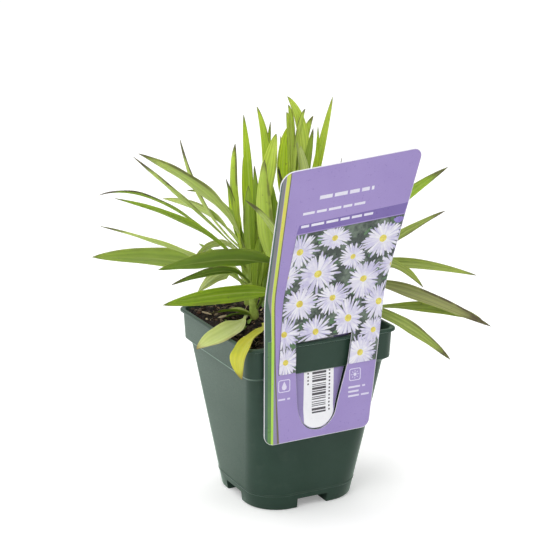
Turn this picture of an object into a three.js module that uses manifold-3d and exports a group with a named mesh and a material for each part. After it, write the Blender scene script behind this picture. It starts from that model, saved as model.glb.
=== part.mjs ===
// A young aster with narrow leaves in a square nursery pot, with its soil and a hanging plastic label.
// Millimetres, +Z up. The origin is the middle of the pot's base, and the label hangs on the -Y side.
import * as THREE from 'three';
import { mergeVertices } from 'three/addons/utils/BufferGeometryUtils.js';
import Module from 'manifold-3d';

const wasm = await Module();
wasm.setup();

// Pot: a tapered square with a deep collar
const POT_HEIGHT = 102.5;
const WALL = 1.0;
const RIM_HALF = 46.8;
const RIM_RADIUS = 6.2;
const LIP = 1.4;
const LIP_HEIGHT = 1.6;
const COLLAR_BOTTOM = 85.3;
const COLLAR_BOTTOM_HALF = 44.8;
const COLLAR_RADIUS = 6.5;
const LEDGE_BOTTOM = 83.1;
const LEDGE_HALF = 42.3;
const LEDGE_RADIUS = 8;
const BASE_HALF = 32.7;
const BASE_RADIUS = 20;
const FOOT_ROUND = 0.8;
const EDGE_ROUND = 0.5;
const LIP_CHAMFER = 0.6;
const NOTCH_HALF = 9.5;
const NOTCH_HEIGHT = 5.8;
const FLOOR = 1.2;
const DRAIN_RADIUS = 4;
const DRAIN_OFFSET = 17;
const DRAIN_SIDES = 12;
const CORNER_STEPS = 4;

// Gap between pieces that touch on the real thing
const GAP = 0.3;

// Soil: close under the rim
const SOIL_BOTTOM = NOTCH_HEIGHT + FLOOR + GAP;
const SOIL_LEVEL = 99.2;
const SOIL_LUMP = 1.4;
const SOIL_MOUND = 1.2;
const SOIL_MOUND_SPREAD = 26;
const SOIL_RINGS = 7;

// Label: one bent card, measured along its face from its lower edge
const CARD_THICK = 0.6;
const CARD_FRONT = -47.75;
const CARD_LOW = 46.5;
// Where the label hangs to the side of the pot's middle
const CARD_SIDE = -0.9;
const CARD_LEAN_LOW = 1.2;
const CARD_LEAN_TOP = 16;
const BEND_START = 76;
const BEND_END = 88;
const CARD_CORNERS = {
  lowLeft: { across: -36.2, along: 0.3, radius: 6 },
  lowRight: { across: 28.9, along: 1.0, radius: 5 },
  topLeft: { across: -37.0, along: 158.8, radius: 8 },
  topRight: { across: 45.4, along: 165.8, radius: 5 },
};
// The cut round the tongue, from its upper left end down and up again to the right
const CUT = [
  [-17.6, 57.1], [-17.6, 41], [-16.2, 20], [-14.2, 12.5], [-10.8, 7.6], [-6.2, 5.2],
  [-0.8, 5.2], [3.8, 7.8], [7.2, 12.4], [11, 27], [14.8, 41], [17.0, 58.5],
];
const CUT_DEPTH = 6;
const CUT_TOP = 57.8;
const CUT_CENTRE = -2.6;
const TONGUE_CLEAR = 0.45;
const TONGUE_THICK = 0.6;
// The tongue's way over the rim, down inside the collar, through the ledge and out again, as y and z
const TONGUE_ROUTE = [
  [-47.42, 107.6], [-47.4, 106.1], [-46.8, 105.1], [-45.4, 104.0], [-43.9, 102.8], [-43.5, 99],
  [-43.4, 92], [-43.2, 85.5], [-43.4, 80], [-43.9, 73], [-44.7, 65], [-45.6, 58], [-46.3, 52.4],
];
// How far the tongue hangs to the right of its cut, at most
const TONGUE_SHIFT = 1.2;
// The slot for it through the pot's ledge
const SLOT = { left: -19.3, right: 16.2, outer: -43.95, inner: -42.55 };

// Leaves: few sides, each an outline round a folded blade
const LEAF_STEPS = 9;
const LEAF_THICK = 0.7;
const STALK_THICK = 1.2;
const STALK_WIDTH = 2.6;
const TIP_WIDTH = 0.7;
const FOLD = 24;
// Where the blade starts on the leaf's length, how far out it is widest, and how full it is
const BLADE_START = 0.08;
const BLADE_PEAK = 1.25;
const BLADE_FULLNESS = 0.72;
const STEM_RADIUS = 2.2;
const STEM_SIDES = 7;
const STEM_TAPER = [1, 1, 0.85, 0.5];
const STEM_FOOT = 88;

// Each shoot: the stem's foot and top, and its leaves in order up the stem. A leaf is its height on the stem,
// its direction seen from above, how far it reaches out, how far its tip rises, the slope that it starts at,
// its width, its turn about its own length, and how far along its chord it bends.
const SHOOTS = [
  {
    name: 'shoot_left', foot: [-14, 12], top: [-17, 16, 143],
    leaves: [
      [119, 204, 66, 16, 60, 6.5, 40, 0.32],
      [117, 186, 94, 50, 42, 5.5, 30, 0.35],
      [119, 145, 92, 14, 35, 12.5, 68, 0.35],
      [128, 160, 83, 46, 48, 6, 25, 0.8],
      [124, 175, 78, 53, 60, 6, 20, 0.4],
      [114, 330, 14, 93, 84, 10, 65, 0.7],
      [121, 150, 8, 80, 66, 7, 50, 0.6],
      [131, 150, 61, 64, 82, 10, 55, 0.45],
      [135, 168, 64, 62, 46, 5, 25, 0.5],
      [133, 122, 58, 30, 65, 8, 60, 0.5],
      [138, 128, 42, 62, 30, 5, 60, 0.5],
      [140, 110, 48, 27, 75, 5.5, 40, 0.6],
      [122, 120, 4, 95, 92, 5.2, -55, 0.5],
      [126, 80, 10, 66, 80, 6, 0, 0.5],
      [136, 150, 22, 32, 75, 5, 40, 0.5],
      [118, 240, 12, 62, 75, 7, 0, 0.5],
      [110, 300, 10, 64, 80, 8, -60, 0.5],
      [110, 310, 1, 79, 84, 4.5, -60, 0.5],
      [107, 270, 9, 44, 75, 6.5, 0, 0.5],
      [104.5, 322, 7, 58, 72, 6.5, -75, 0.6],
      [106, 340, 10, 74, 70, 6, -90, 0.6],
      [104, 300, 8, 50, 75, 6, -60, 0.6],
      [105, 335, 6, 62, 70, 6, 88, 0.5],
    ],
  },
  {
    name: 'shoot_front', foot: [0, -12], top: [2, -14, 134],
    leaves: [
      [107, 160, 18, 89, 58, 10.5, 60, 0.5],
      [112, 290, 16, 70, 75, 8, 0, 0.5],
      [116.4, 179, 81, 7.4, 22.5, 10.1, -90, 0.4],
      [120, 20, 20, 66, 72, 7, 0, 0.5],
      [118, 185, 34, 59, 78, 6.5, 30, 0.6],
      [110, 172, 10, 56, 76, 8, 50, 0.5],
      [131, 184, 88, 15, 35, 13, 66, 0.35],
      [128, 240, 10, 62, 80, 7, 0, 0.5],
    ],
  },
  {
    name: 'shoot_centre', foot: [6, 8], top: [5, 9, 158],
    leaves: [
      [116, 140, 1, 102, 92, 4.5, -60, 0.9],
      [116, 170, 6, 72, 90, 4, -90, 0.5],
      [118, 160, -1, 92, 84, 7.5, -80, 0.8],
      [119, 40, 24, 80, 70, 7, 0, 0.5],
      [120, 350, 17, 89, 65, 3.5, 70, 0.5],
      [120, 320, 10, 100, 88, 3.5, -60, 0.9],
      [122, 170, 0, 100, 93, 4, -80, 0.9],
      [125, 330, 14, 84, 80, 6, -75, 0.5],
      [129, 150, 0, 98, 103, 6.8, -70, 0.8],
      [130, 345, 15, 85, 87, 5.5, 60, 0.8],
      [138, 318, 5, 66, 56, 7, -70, 0.5],
    ],
  },
  {
    name: 'shoot_right', foot: [25, -8], top: [27, -9, 134],
    leaves: [
      [104.5, 333, 87, -6, 6, 7, 60, 0.7],
      [108, 312, 70, -24, 10, 8.5, 30, 0.45],
      [121, 337, 90, -27, 12, 9.5, 40, 0.3],
      [114, 330, 62, 50, 55, 6, 30, 0.4],
      [117, 345, 85, 4, 60, 6, 30, 0.33],
      [120, 318, 51, 2, 48, 5.5, 20, 0.8],
      [119, 346, 66, 66, 70, 7.5, 30, 0.4],
      [120, 330, 4, 74, 95, 7, 0, 0.5],
    ],
  },
  {
    name: 'shoot_back_right', foot: [18, 24], top: [21, 28, 140],
    leaves: [
      [106, 20, 74, 18, 40, 8, 20, 0.5],
      [109, 60, 48, 30, 50, 7.5, 0, 0.5],
      [112, 352, 66, 40, 55, 7, 0, 0.5],
      [114, 90, 38, 52, 65, 7, 0, 0.5],
      [117, 330, 21, 106, 80, 5.2, 80, 0.5],
      [122, 40, 52, 46, 62, 6, 0, 0.5],
      [128, 78, 32, 66, 75, 6.5, 0, 0.5],
      [134, 70, 26, 60, 70, 6, 0, 0.5],
    ],
  },
  {
    name: 'shoot_back_left', foot: [-8, 32], top: [-11, 34, 138],
    leaves: [
      [112, 170, 29, 0, 75, 9, 50, 0.8],
      [112, 60, 38, 24, 45, 7.5, 0, 0.5],
      [110, 120, 44.5, 30, 50, 7, 0, 0.5],
      [112, 320, 7, 107, 74, 5.5, -70, 0.7],
      [112, 350, 15, 97, 77, 5, 70, 0.4],
      [130, 165, 28, 3, 55, 8, 50, 0.7],
      [126, 85, 32, 50, 65, 6, 0, 0.5],
      [130, 80, 28, 30, 62, 6, 0, 0.5],
    ],
  },
];

// Two old leaves that lie over the rim, each on a stalk that stands in the soil. The handles draw the leaf's curve,
// and the azimuth is its direction seen from above.
const OLD_LEAVES = [
  {
    name: 'pale_leaf', azimuth: 218.5, width: 13, turn: -21,
    handles: [[-17.8, 14.2, 102], [-30, -5, 102.6], [-50, -25, 107.4], [-66, -24, 100.2]],
  },
  {
    name: 'yellow_leaf', azimuth: 233.7, width: 12.8, turn: 26,
    handles: [[-16.5, -5, 102], [-22.5, -22, 102.6], [-59, -49, 110.7], [-55, -57.5, 91.7]],
  },
];
const OLD_STALK_RADIUS = 0.9;
const OLD_STALK_FOOT = 90;

const radians = THREE.MathUtils.degToRad;
const lerp = THREE.MathUtils.lerp;

// A body from rings of points: each ring joins the next, and the two ends are closed
function loft(rings) {
  const count = rings[0].length;
  const positions = rings.flat().flatMap((point) => point.toArray());
  const index = [];
  for (let row = 0; row < rings.length - 1; row += 1) {
    for (let k = 0; k < count; k += 1) {
      const a = row * count + k;
      const b = row * count + (k + 1) % count;
      index.push(a, b, b + count, a, b + count, a + count);
    }
  }
  const last = (rings.length - 1) * count;
  for (let k = 1; k < count - 1; k += 1) {
    index.push(0, k + 1, k);
    index.push(last, last + k, last + k + 1);
  }
  const geometry = new THREE.BufferGeometry();
  geometry.setAttribute('position', new THREE.Float32BufferAttribute(positions, 3));
  geometry.setIndex(index);
  return geometry;
}

// manifold-3d solid from a closed geometry, and back
function solid(geometry) {
  geometry.deleteAttribute('normal');
  geometry.deleteAttribute('uv');
  const merged = mergeVertices(geometry, 1e-5);
  const vertProperties = new Float32Array(merged.attributes.position.array);
  const triVerts = new Uint32Array(merged.index.array);
  return new wasm.Manifold(new wasm.Mesh({ numProp: 3, vertProperties, triVerts }));
}

function geometryOf(body) {
  const { vertProperties, triVerts, numProp } = body.getMesh();
  const geometry = new THREE.BufferGeometry();
  const positions = new Float32Array(vertProperties.length / numProp * 3);
  for (let k = 0; k < positions.length / 3; k += 1) {
    positions.set(vertProperties.subarray(k * numProp, k * numProp + 3), k * 3);
  }
  geometry.setAttribute('position', new THREE.BufferAttribute(positions, 3));
  geometry.setIndex(new THREE.BufferAttribute(new Uint32Array(triVerts), 1));
  geometry.computeVertexNormals();
  return geometry;
}

function box(x0, x1, y0, y1, z0, z1) {
  const geometry = new THREE.BoxGeometry(x1 - x0, y1 - y0, z1 - z0);
  geometry.translate((x0 + x1) / 2, (y0 + y1) / 2, (z0 + z1) / 2);
  return solid(geometry);
}

function cylinder(x, y, radius, z0, z1, sides) {
  const geometry = new THREE.CylinderGeometry(radius, radius, z1 - z0, sides);
  geometry.rotateX(Math.PI / 2);
  geometry.translate(x, y, (z0 + z1) / 2);
  return solid(geometry);
}

// A square with rounded corners at one height, counter-clockwise from above
function squareRing(half, radius, z) {
  const ring = [];
  for (let corner = 0; corner < 4; corner += 1) {
    const middle = Math.PI / 4 + corner * Math.PI / 2;
    const cx = Math.sign(Math.cos(middle)) * (half - radius);
    const cy = Math.sign(Math.sin(middle)) * (half - radius);
    for (let k = 0; k <= CORNER_STEPS; k += 1) {
      const angle = corner * Math.PI / 2 + k / CORNER_STEPS * Math.PI / 2;
      ring.push(new THREE.Vector3(cx + radius * Math.cos(angle), cy + radius * Math.sin(angle), z));
    }
  }
  return ring;
}

function squareLoft(profile) {
  return loft(profile.map(([half, radius, z]) => squareRing(half, radius, z)));
}

// The pot's wall under the ledge tapers evenly, and so does its corner radius
function wallAt(z) {
  const share = z / LEDGE_BOTTOM;
  return { half: lerp(BASE_HALF, LEDGE_HALF, share), radius: lerp(BASE_RADIUS, LEDGE_RADIUS, share) };
}

// The pot's inside, drawn in by a gap for the soil, from a floor height to a top height
function insideProfile(gap, bottom, top) {
  const low = wallAt(bottom);
  const inset = WALL + gap;
  const rimHalf = RIM_HALF - LIP - inset;
  const lift = WALL / 2 + gap;
  const profile = [
    [low.half - inset, low.radius - inset, bottom],
    [LEDGE_HALF - inset, LEDGE_RADIUS - inset, LEDGE_BOTTOM + lift],
    [COLLAR_BOTTOM_HALF - inset, COLLAR_RADIUS - inset, COLLAR_BOTTOM + lift],
  ];
  const share = (top - COLLAR_BOTTOM) / (POT_HEIGHT - COLLAR_BOTTOM);
  const half = lerp(COLLAR_BOTTOM_HALF - inset, rimHalf, share);
  profile.push([half, lerp(COLLAR_RADIUS, RIM_RADIUS, share) - inset, top]);
  return profile;
}

function buildPot() {
  const lipBottom = POT_HEIGHT - LIP_HEIGHT;
  const outer = solid(squareLoft([
    [BASE_HALF - FOOT_ROUND, BASE_RADIUS - FOOT_ROUND, 0],
    [wallAt(FOOT_ROUND).half, wallAt(FOOT_ROUND).radius, FOOT_ROUND],
    [LEDGE_HALF, LEDGE_RADIUS, LEDGE_BOTTOM],
    [COLLAR_BOTTOM_HALF, COLLAR_RADIUS, COLLAR_BOTTOM],
    [RIM_HALF - LIP, RIM_RADIUS, lipBottom - LIP_CHAMFER],
    [RIM_HALF, RIM_RADIUS, lipBottom],
    [RIM_HALF, RIM_RADIUS, POT_HEIGHT - EDGE_ROUND],
    [RIM_HALF - EDGE_ROUND, RIM_RADIUS - EDGE_ROUND, POT_HEIGHT],
  ]));
  const inside = solid(squareLoft(insideProfile(0, WALL, POT_HEIGHT + 1)));
  const channelHalf = NOTCH_HALF + WALL;
  const floorTop = NOTCH_HEIGHT + FLOOR;
  const raised = box(-channelHalf, channelHalf, -RIM_HALF, RIM_HALF, 0, floorTop)
    .add(box(-RIM_HALF, RIM_HALF, -channelHalf, channelHalf, 0, floorTop));
  const channels = box(-NOTCH_HALF, NOTCH_HALF, -RIM_HALF, RIM_HALF, -1, NOTCH_HEIGHT)
    .add(box(-RIM_HALF, RIM_HALF, -NOTCH_HALF, NOTCH_HALF, -1, NOTCH_HEIGHT));
  let pot = outer.subtract(inside.subtract(raised)).subtract(channels);
  for (const [x, y] of [[0, 0], [1, 0], [-1, 0], [0, 1], [0, -1]]) {
    const drain = cylinder(x * DRAIN_OFFSET, y * DRAIN_OFFSET, DRAIN_RADIUS, 0, floorTop + 1, DRAIN_SIDES);
    pot = pot.subtract(drain);
  }
  const slot = box(SLOT.left, SLOT.right, SLOT.outer, SLOT.inner, LEDGE_BOTTOM - 3, COLLAR_BOTTOM + 3);
  return pot.subtract(slot);
}

// Height of the soil's surface: fixed waves, highest round the plant
function soilHeight(x, y) {
  const waves = Math.sin(x * 0.41 + 1.3) * Math.cos(y * 0.37 - 0.6) + 0.6 * Math.sin(x * 0.83 - y * 0.71);
  const mound = SOIL_MOUND * Math.exp(-(x * x + y * y) / SOIL_MOUND_SPREAD ** 2);
  return SOIL_LEVEL + mound + SOIL_LUMP * 0.6 * waves;
}

function buildSoil() {
  const edge = SOIL_LEVEL - SOIL_LUMP;
  const rings = insideProfile(GAP, SOIL_BOTTOM, edge).map(([half, radius, z]) => squareRing(half, radius, z));
  const rim = rings[rings.length - 1];
  for (const point of rim) {
    point.z = edge + SOIL_LUMP * 0.4 * Math.sin(point.x * 0.31 + point.y * 0.23);
  }
  for (let ring = 1; ring < SOIL_RINGS; ring += 1) {
    const share = 1 - ring / SOIL_RINGS;
    rings.push(rim.map((point) => {
      const x = point.x * share;
      const y = point.y * share;
      return new THREE.Vector3(x, y, soilHeight(x, y));
    }));
  }
  let soil = solid(loft(rings));
  for (const shoot of SHOOTS) {
    const [x, y] = shoot.foot;
    soil = soil.subtract(cylinder(x, y, STEM_RADIUS * 1.05 + GAP, STEM_FOOT - GAP, POT_HEIGHT + 10, 12));
  }
  for (const old of OLD_LEAVES) {
    const [x, y] = old.handles[0];
    soil = soil.subtract(cylinder(x, y, OLD_STALK_RADIUS + GAP, OLD_STALK_FOOT - GAP, POT_HEIGHT, 10));
  }
  const pocket = box(SLOT.left, SLOT.right, -RIM_HALF, SLOT.inner, LEDGE_BOTTOM - 3, POT_HEIGHT);
  return soil.subtract(pocket);
}

// A point of the label: across the card, along its face from the lower edge, and in from its front
function cardPoint(across, along, depth) {
  const lean0 = radians(CARD_LEAN_LOW);
  const lean1 = radians(CARD_LEAN_TOP);
  const length = BEND_END - BEND_START;
  const radius = length / (lean1 - lean0);
  const share = THREE.MathUtils.clamp((along - BEND_START) / length, 0, 1);
  const lean = lerp(lean0, lean1, share);
  const straight = Math.min(along, BEND_START);
  const beyond = Math.max(along - BEND_END, 0);
  const low = CARD_FRONT + (POT_HEIGHT - CARD_LOW) * Math.sin(lean0);
  const y = low - straight * Math.sin(lean0) - radius * (Math.cos(lean0) - Math.cos(lean)) - beyond * Math.sin(lean1);
  const z = CARD_LOW + straight * Math.cos(lean0) + radius * (Math.sin(lean) - Math.sin(lean0))
    + beyond * Math.cos(lean1);
  return new THREE.Vector3(across + CARD_SIDE, y + depth * Math.cos(lean), z + depth * Math.sin(lean));
}

// How far a rounded corner draws the side in, at a distance from the end of the card
function cornerInset(radius, distance) {
  if (distance >= radius) return 0;
  return radius - Math.sqrt(radius ** 2 - (radius - distance) ** 2);
}

function cardRow(share) {
  const { lowLeft, lowRight, topLeft, topRight } = CARD_CORNERS;
  const length = topLeft.along - lowLeft.along;
  const fromEnd = Math.min(share, 1 - share) * length;
  const [leftEnd, rightEnd] = share < 0.5 ? [lowLeft, lowRight] : [topLeft, topRight];
  const left = {
    across: lerp(lowLeft.across, topLeft.across, share),
    along: lerp(lowLeft.along, topLeft.along, share),
  };
  const right = {
    across: lerp(lowRight.across, topRight.across, share),
    along: lerp(lowRight.along, topRight.along, share),
  };
  const width = right.across - left.across;
  const insetLeft = cornerInset(leftEnd.radius, fromEnd) / width;
  const insetRight = 1 - cornerInset(rightEnd.radius, fromEnd) / width;
  const at = (part, depth) => cardPoint(
    lerp(left.across, right.across, part), lerp(left.along, right.along, part), depth,
  );
  return [at(insetLeft, 0), at(insetRight, 0), at(insetRight, CARD_THICK), at(insetLeft, CARD_THICK)];
}

function buildCard() {
  const { lowLeft, topLeft } = CARD_CORNERS;
  const length = topLeft.along - lowLeft.along;
  const ends = [0, 0.4, 1.5, 3.2, 5.5, 8];
  const bends = [BEND_START, BEND_START + 3, BEND_START + 6, BEND_START + 9, BEND_END, BEND_END + 3];
  const shares = [
    ...ends.map((distance) => distance / length),
    ...bends.map((along) => along / length),
    ...ends.map((distance) => 1 - distance / length).reverse(),
  ];
  const sheet = solid(loft(shares.map(cardRow)));
  const shape = new THREE.Shape(CUT.map(([across, along]) => new THREE.Vector2(across, along)));
  const cutter = new THREE.ExtrudeGeometry(shape, { depth: CUT_DEPTH, bevelEnabled: false });
  cutter.rotateX(Math.PI / 2);
  cutter.rotateX(radians(CARD_LEAN_LOW));
  cutter.translate(CARD_SIDE, CARD_FRONT + CUT_DEPTH / 2, CARD_LOW);
  return sheet.subtract(solid(cutter));
}

// The cut's left and right edge at a distance along the card
function cutEdge(along, side) {
  const half = CUT.filter(([across]) => Math.sign(across - CUT_CENTRE) === side);
  const line = side < 0 ? half : [...half].reverse();
  for (let k = 0; k < line.length - 1; k += 1) {
    const [x0, s0] = line[k];
    const [x1, s1] = line[k + 1];
    if (along <= s0 && along >= s1) return lerp(x0, x1, (s0 - along) / (s0 - s1));
  }
  return along > line[0][1] ? line[0][0] : line[line.length - 1][0];
}

function buildTongue() {
  const route = TONGUE_ROUTE.map(([y, z]) => new THREE.Vector3(0, y, z));
  const lengths = [0];
  for (let k = 1; k < route.length; k += 1) {
    lengths.push(lengths[k - 1] + route[k].distanceTo(route[k - 1]));
  }
  const total = lengths[lengths.length - 1];
  const tip = CUT[5][1] + TONGUE_CLEAR;
  const rowAt = (distance, along) => {
    let k = 1;
    while (k < route.length - 1 && lengths[k] < distance) k += 1;
    const share = (distance - lengths[k - 1]) / (lengths[k] - lengths[k - 1]);
    const centre = route[k - 1].clone().lerp(route[k], share);
    const before = route[Math.max(k - 2, 0)];
    const after = route[Math.min(k + 1, route.length - 1)];
    const way = after.clone().sub(before).normalize();
    const out = new THREE.Vector3(0, way.z, -way.y).multiplyScalar(TONGUE_THICK / 2);
    const shift = TONGUE_SHIFT * Math.max(Math.sin(1.25 * Math.PI * distance / total), 0);
    const left = CARD_SIDE + cutEdge(along, -1) + TONGUE_CLEAR + shift;
    const right = CARD_SIDE + cutEdge(along, 1) - TONGUE_CLEAR + shift;
    const front = centre.clone().add(out);
    const back = centre.clone().sub(out);
    return [
      new THREE.Vector3(left, back.y, back.z), new THREE.Vector3(right, back.y, back.z),
      new THREE.Vector3(right, front.y, front.z), new THREE.Vector3(left, front.y, front.z),
    ];
  };
  const root = CUT_TOP + 2;
  const stations = [...lengths, total - 2, total - 5, total - 9].sort((a, b) => a - b);
  return solid(loft(stations.map((distance) => rowAt(distance, lerp(root, tip, distance / total)))));
}

// Width of a leaf along its length: a narrow stalk, the widest part past the middle, and a long point
function leafWidth(width, share) {
  const along = THREE.MathUtils.clamp((share - BLADE_START) / (1 - BLADE_START), 0, 1);
  const blade = Math.max(Math.sin(Math.PI * along ** BLADE_PEAK), 0) ** BLADE_FULLNESS;
  const stalk = STALK_WIDTH * (1 - share) ** 2;
  return Math.max(lerp(TIP_WIDTH, width, blade), stalk);
}

// A folded blade along a curve, level across at its foot and turned about its own length on the way out
function bladeSolid(curve, azimuth, width, turn) {
  const level = new THREE.Vector3(-Math.sin(radians(azimuth)), Math.cos(radians(azimuth)), 0);
  const rings = [];
  for (let k = 0; k <= LEAF_STEPS; k += 1) {
    const share = k / LEAF_STEPS;
    const centre = curve.getPoint(share);
    const way = curve.getTangent(share);
    const roll = radians(turn * THREE.MathUtils.smoothstep(share, 0.1, 0.6));
    const side = level.clone().applyAxisAngle(way, roll);
    const face = new THREE.Vector3().crossVectors(way, side).normalize();
    const half = leafWidth(width, share) / 2;
    const thick = lerp(STALK_THICK, LEAF_THICK, Math.min(share * 4, 1)) / 2;
    const raised = half * Math.sin(radians(FOLD)) * (1 - 0.5 * share);
    const spread = half * Math.cos(radians(FOLD) * (1 - 0.5 * share));
    const at = (across, height) => centre.clone().addScaledVector(side, across).addScaledVector(face, height);
    rings.push([
      at(-spread, raised + thick), at(-spread, raised - thick), at(0, -thick),
      at(spread, raised - thick), at(spread, raised + thick), at(0, thick),
    ]);
  }
  return solid(loft(rings));
}

// The point that lies so far out from a foot, in a direction seen from above, and so high
function outward([x, y], azimuth, reach, z) {
  return new THREE.Vector3(x + reach * Math.cos(radians(azimuth)), y + reach * Math.sin(radians(azimuth)), z);
}

function leafSolid(from, [, azimuth, reach, rise, slope, width, turn, elbow]) {
  const foot = [from.x, from.y];
  const chord = Math.hypot(reach, rise) * elbow;
  const middle = outward(foot, azimuth, chord * Math.cos(radians(slope)), from.z + chord * Math.sin(radians(slope)));
  const tip = outward(foot, azimuth, reach, from.z + rise);
  return bladeSolid(new THREE.QuadraticBezierCurve3(from, middle, tip), azimuth, width, turn);
}

function stemPoint(shoot, z) {
  const [x0, y0] = shoot.foot;
  const [x1, y1, top] = shoot.top;
  const share = Math.max((z - POT_HEIGHT) / (top - POT_HEIGHT), 0);
  return new THREE.Vector3(lerp(x0, x1, share), lerp(y0, y1, share), z);
}

function buildStem(shoot) {
  const top = shoot.top[2];
  const rings = [STEM_FOOT, POT_HEIGHT, lerp(POT_HEIGHT, top, 0.5), top].map((z, row) => {
    const centre = stemPoint(shoot, z);
    const radius = STEM_RADIUS * STEM_TAPER[row];
    return Array.from({ length: STEM_SIDES }, (_, k) => {
      const angle = k / STEM_SIDES * 2 * Math.PI;
      return new THREE.Vector3(centre.x + radius * Math.cos(angle), centre.y + radius * Math.sin(angle), z);
    });
  });
  return solid(loft(rings));
}

function buildShoot(shoot) {
  return shoot.leaves.reduce(
    (body, leaf) => body.add(leafSolid(stemPoint(shoot, leaf[0]), leaf)), buildStem(shoot),
  );
}

function buildOldLeaf({ azimuth, width, turn, handles }) {
  const [x, y, z] = handles[0];
  const stalk = cylinder(x, y, OLD_STALK_RADIUS, OLD_STALK_FOOT, z + STALK_THICK / 2, 6);
  const curve = new THREE.CubicBezierCurve3(...handles.map((handle) => new THREE.Vector3(...handle)));
  return stalk.add(bladeSolid(curve, azimuth, width, turn));
}

const group = new THREE.Group();

function place(name, body, color, roughness) {
  const material = new THREE.MeshStandardMaterial({ color, roughness, metalness: 0 });
  const mesh = new THREE.Mesh(geometryOf(body), material);
  mesh.name = name;
  group.add(mesh);
}

place('pot', buildPot(), 0x2f4f43, 0.5);
place('soil', buildSoil(), 0x2e211b, 0.95);
place('label_card', buildCard().add(buildTongue()), 0xa08ec8, 0.4);
for (const shoot of SHOOTS) {
  place(shoot.name, buildShoot(shoot), 0x86ad33, 0.5);
}
place(OLD_LEAVES[0].name, buildOldLeaf(OLD_LEAVES[0]), 0xb9cc6c, 0.55);
place(OLD_LEAVES[1].name, buildOldLeaf(OLD_LEAVES[1]), 0xd0c63c, 0.55);

export default group;
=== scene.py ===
"""A young aster in a square nursery pot, with its soil and a picture label hung on the rim.

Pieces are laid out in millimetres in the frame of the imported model: +Z up, the label on the -Y side.
"""
import logging
import math
import random
from dataclasses import dataclass, field
from enum import Enum

import bmesh
import bpy
from mathutils import Matrix, Quaternion, Vector, noise


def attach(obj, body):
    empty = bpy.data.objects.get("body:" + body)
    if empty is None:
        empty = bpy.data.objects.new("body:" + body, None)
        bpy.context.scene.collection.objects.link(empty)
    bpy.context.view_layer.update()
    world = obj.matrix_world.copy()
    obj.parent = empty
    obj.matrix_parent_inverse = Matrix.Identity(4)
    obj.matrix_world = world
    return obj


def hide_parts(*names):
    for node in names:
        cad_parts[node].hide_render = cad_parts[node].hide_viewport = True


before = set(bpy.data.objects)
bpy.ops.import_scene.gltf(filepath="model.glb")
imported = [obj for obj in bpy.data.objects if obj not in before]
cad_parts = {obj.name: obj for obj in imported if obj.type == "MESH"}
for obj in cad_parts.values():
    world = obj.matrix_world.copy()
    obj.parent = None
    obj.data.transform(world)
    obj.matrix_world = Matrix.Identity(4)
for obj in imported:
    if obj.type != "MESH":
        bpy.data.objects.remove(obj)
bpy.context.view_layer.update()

LOG = logging.getLogger("aster")
MM = 0.001

# The pot's main heights and half widths, shared by the soil and the label
POT_HEIGHT = 102.5
WALL = 1.0
RIM_HALF = 46.8
LIP = 1.4
COLLAR_BOTTOM = 85.3
COLLAR_BOTTOM_HALF = 44.8
LEDGE_BOTTOM = 83.1
LEDGE_HALF = 42.3
BASE_HALF = 32.7
SLOT_LEFT, SLOT_RIGHT, SLOT_OUTER, SLOT_INNER = -19.3, 16.2, -43.95, -42.55
# Where the label hangs to the side of the pot's middle
LABEL_SIDE = -0.9

Point = tuple[float, float]
Place = tuple[float, float, float]
Outline = list[Point]
Faces = list[tuple[int, ...]]
Colour = tuple[float, float, float, float]
Node = bpy.types.Node
Socket = bpy.types.NodeSocket
Material = bpy.types.Material
Piece = bpy.types.Object
Value = float | tuple | Socket


def lerp(a: float, b: float, share: float) -> float:
    """Value that lies a share of the way from a to b."""
    return a + (b - a) * share


def ease(value: float, low: float, high: float) -> float:
    """Smooth step from 0 at low to 1 at high."""
    share = min(max((value - low) / (high - low), 0.0), 1.0)
    return share * share * (3 - 2 * share)


def tint(red: int, green: int, blue: int) -> Colour:
    """Linear colour from the red, green and blue of a display, 0 to 255.

    Args:
        red: The display's red, 0 to 255.
        green: Its green.
        blue: Its blue.

    Returns:
        The colour, fully opaque.
    """
    parts = [channel / 255 for channel in (red, green, blue)]
    line = [part / 12.92 if part <= 0.04045 else ((part + 0.055) / 1.055) ** 2.4 for part in parts]
    return (line[0], line[1], line[2], 1.0)


def around(middle: Point, radius: float, angle: float, z: float = 0.0) -> Vector:
    """Point on a level circle."""
    return Vector((middle[0] + radius * math.cos(angle), middle[1] + radius * math.sin(angle), z))


def any_angle(draw: random.Random) -> float:
    """A random direction."""
    return draw.uniform(0, 6.28)


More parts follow.
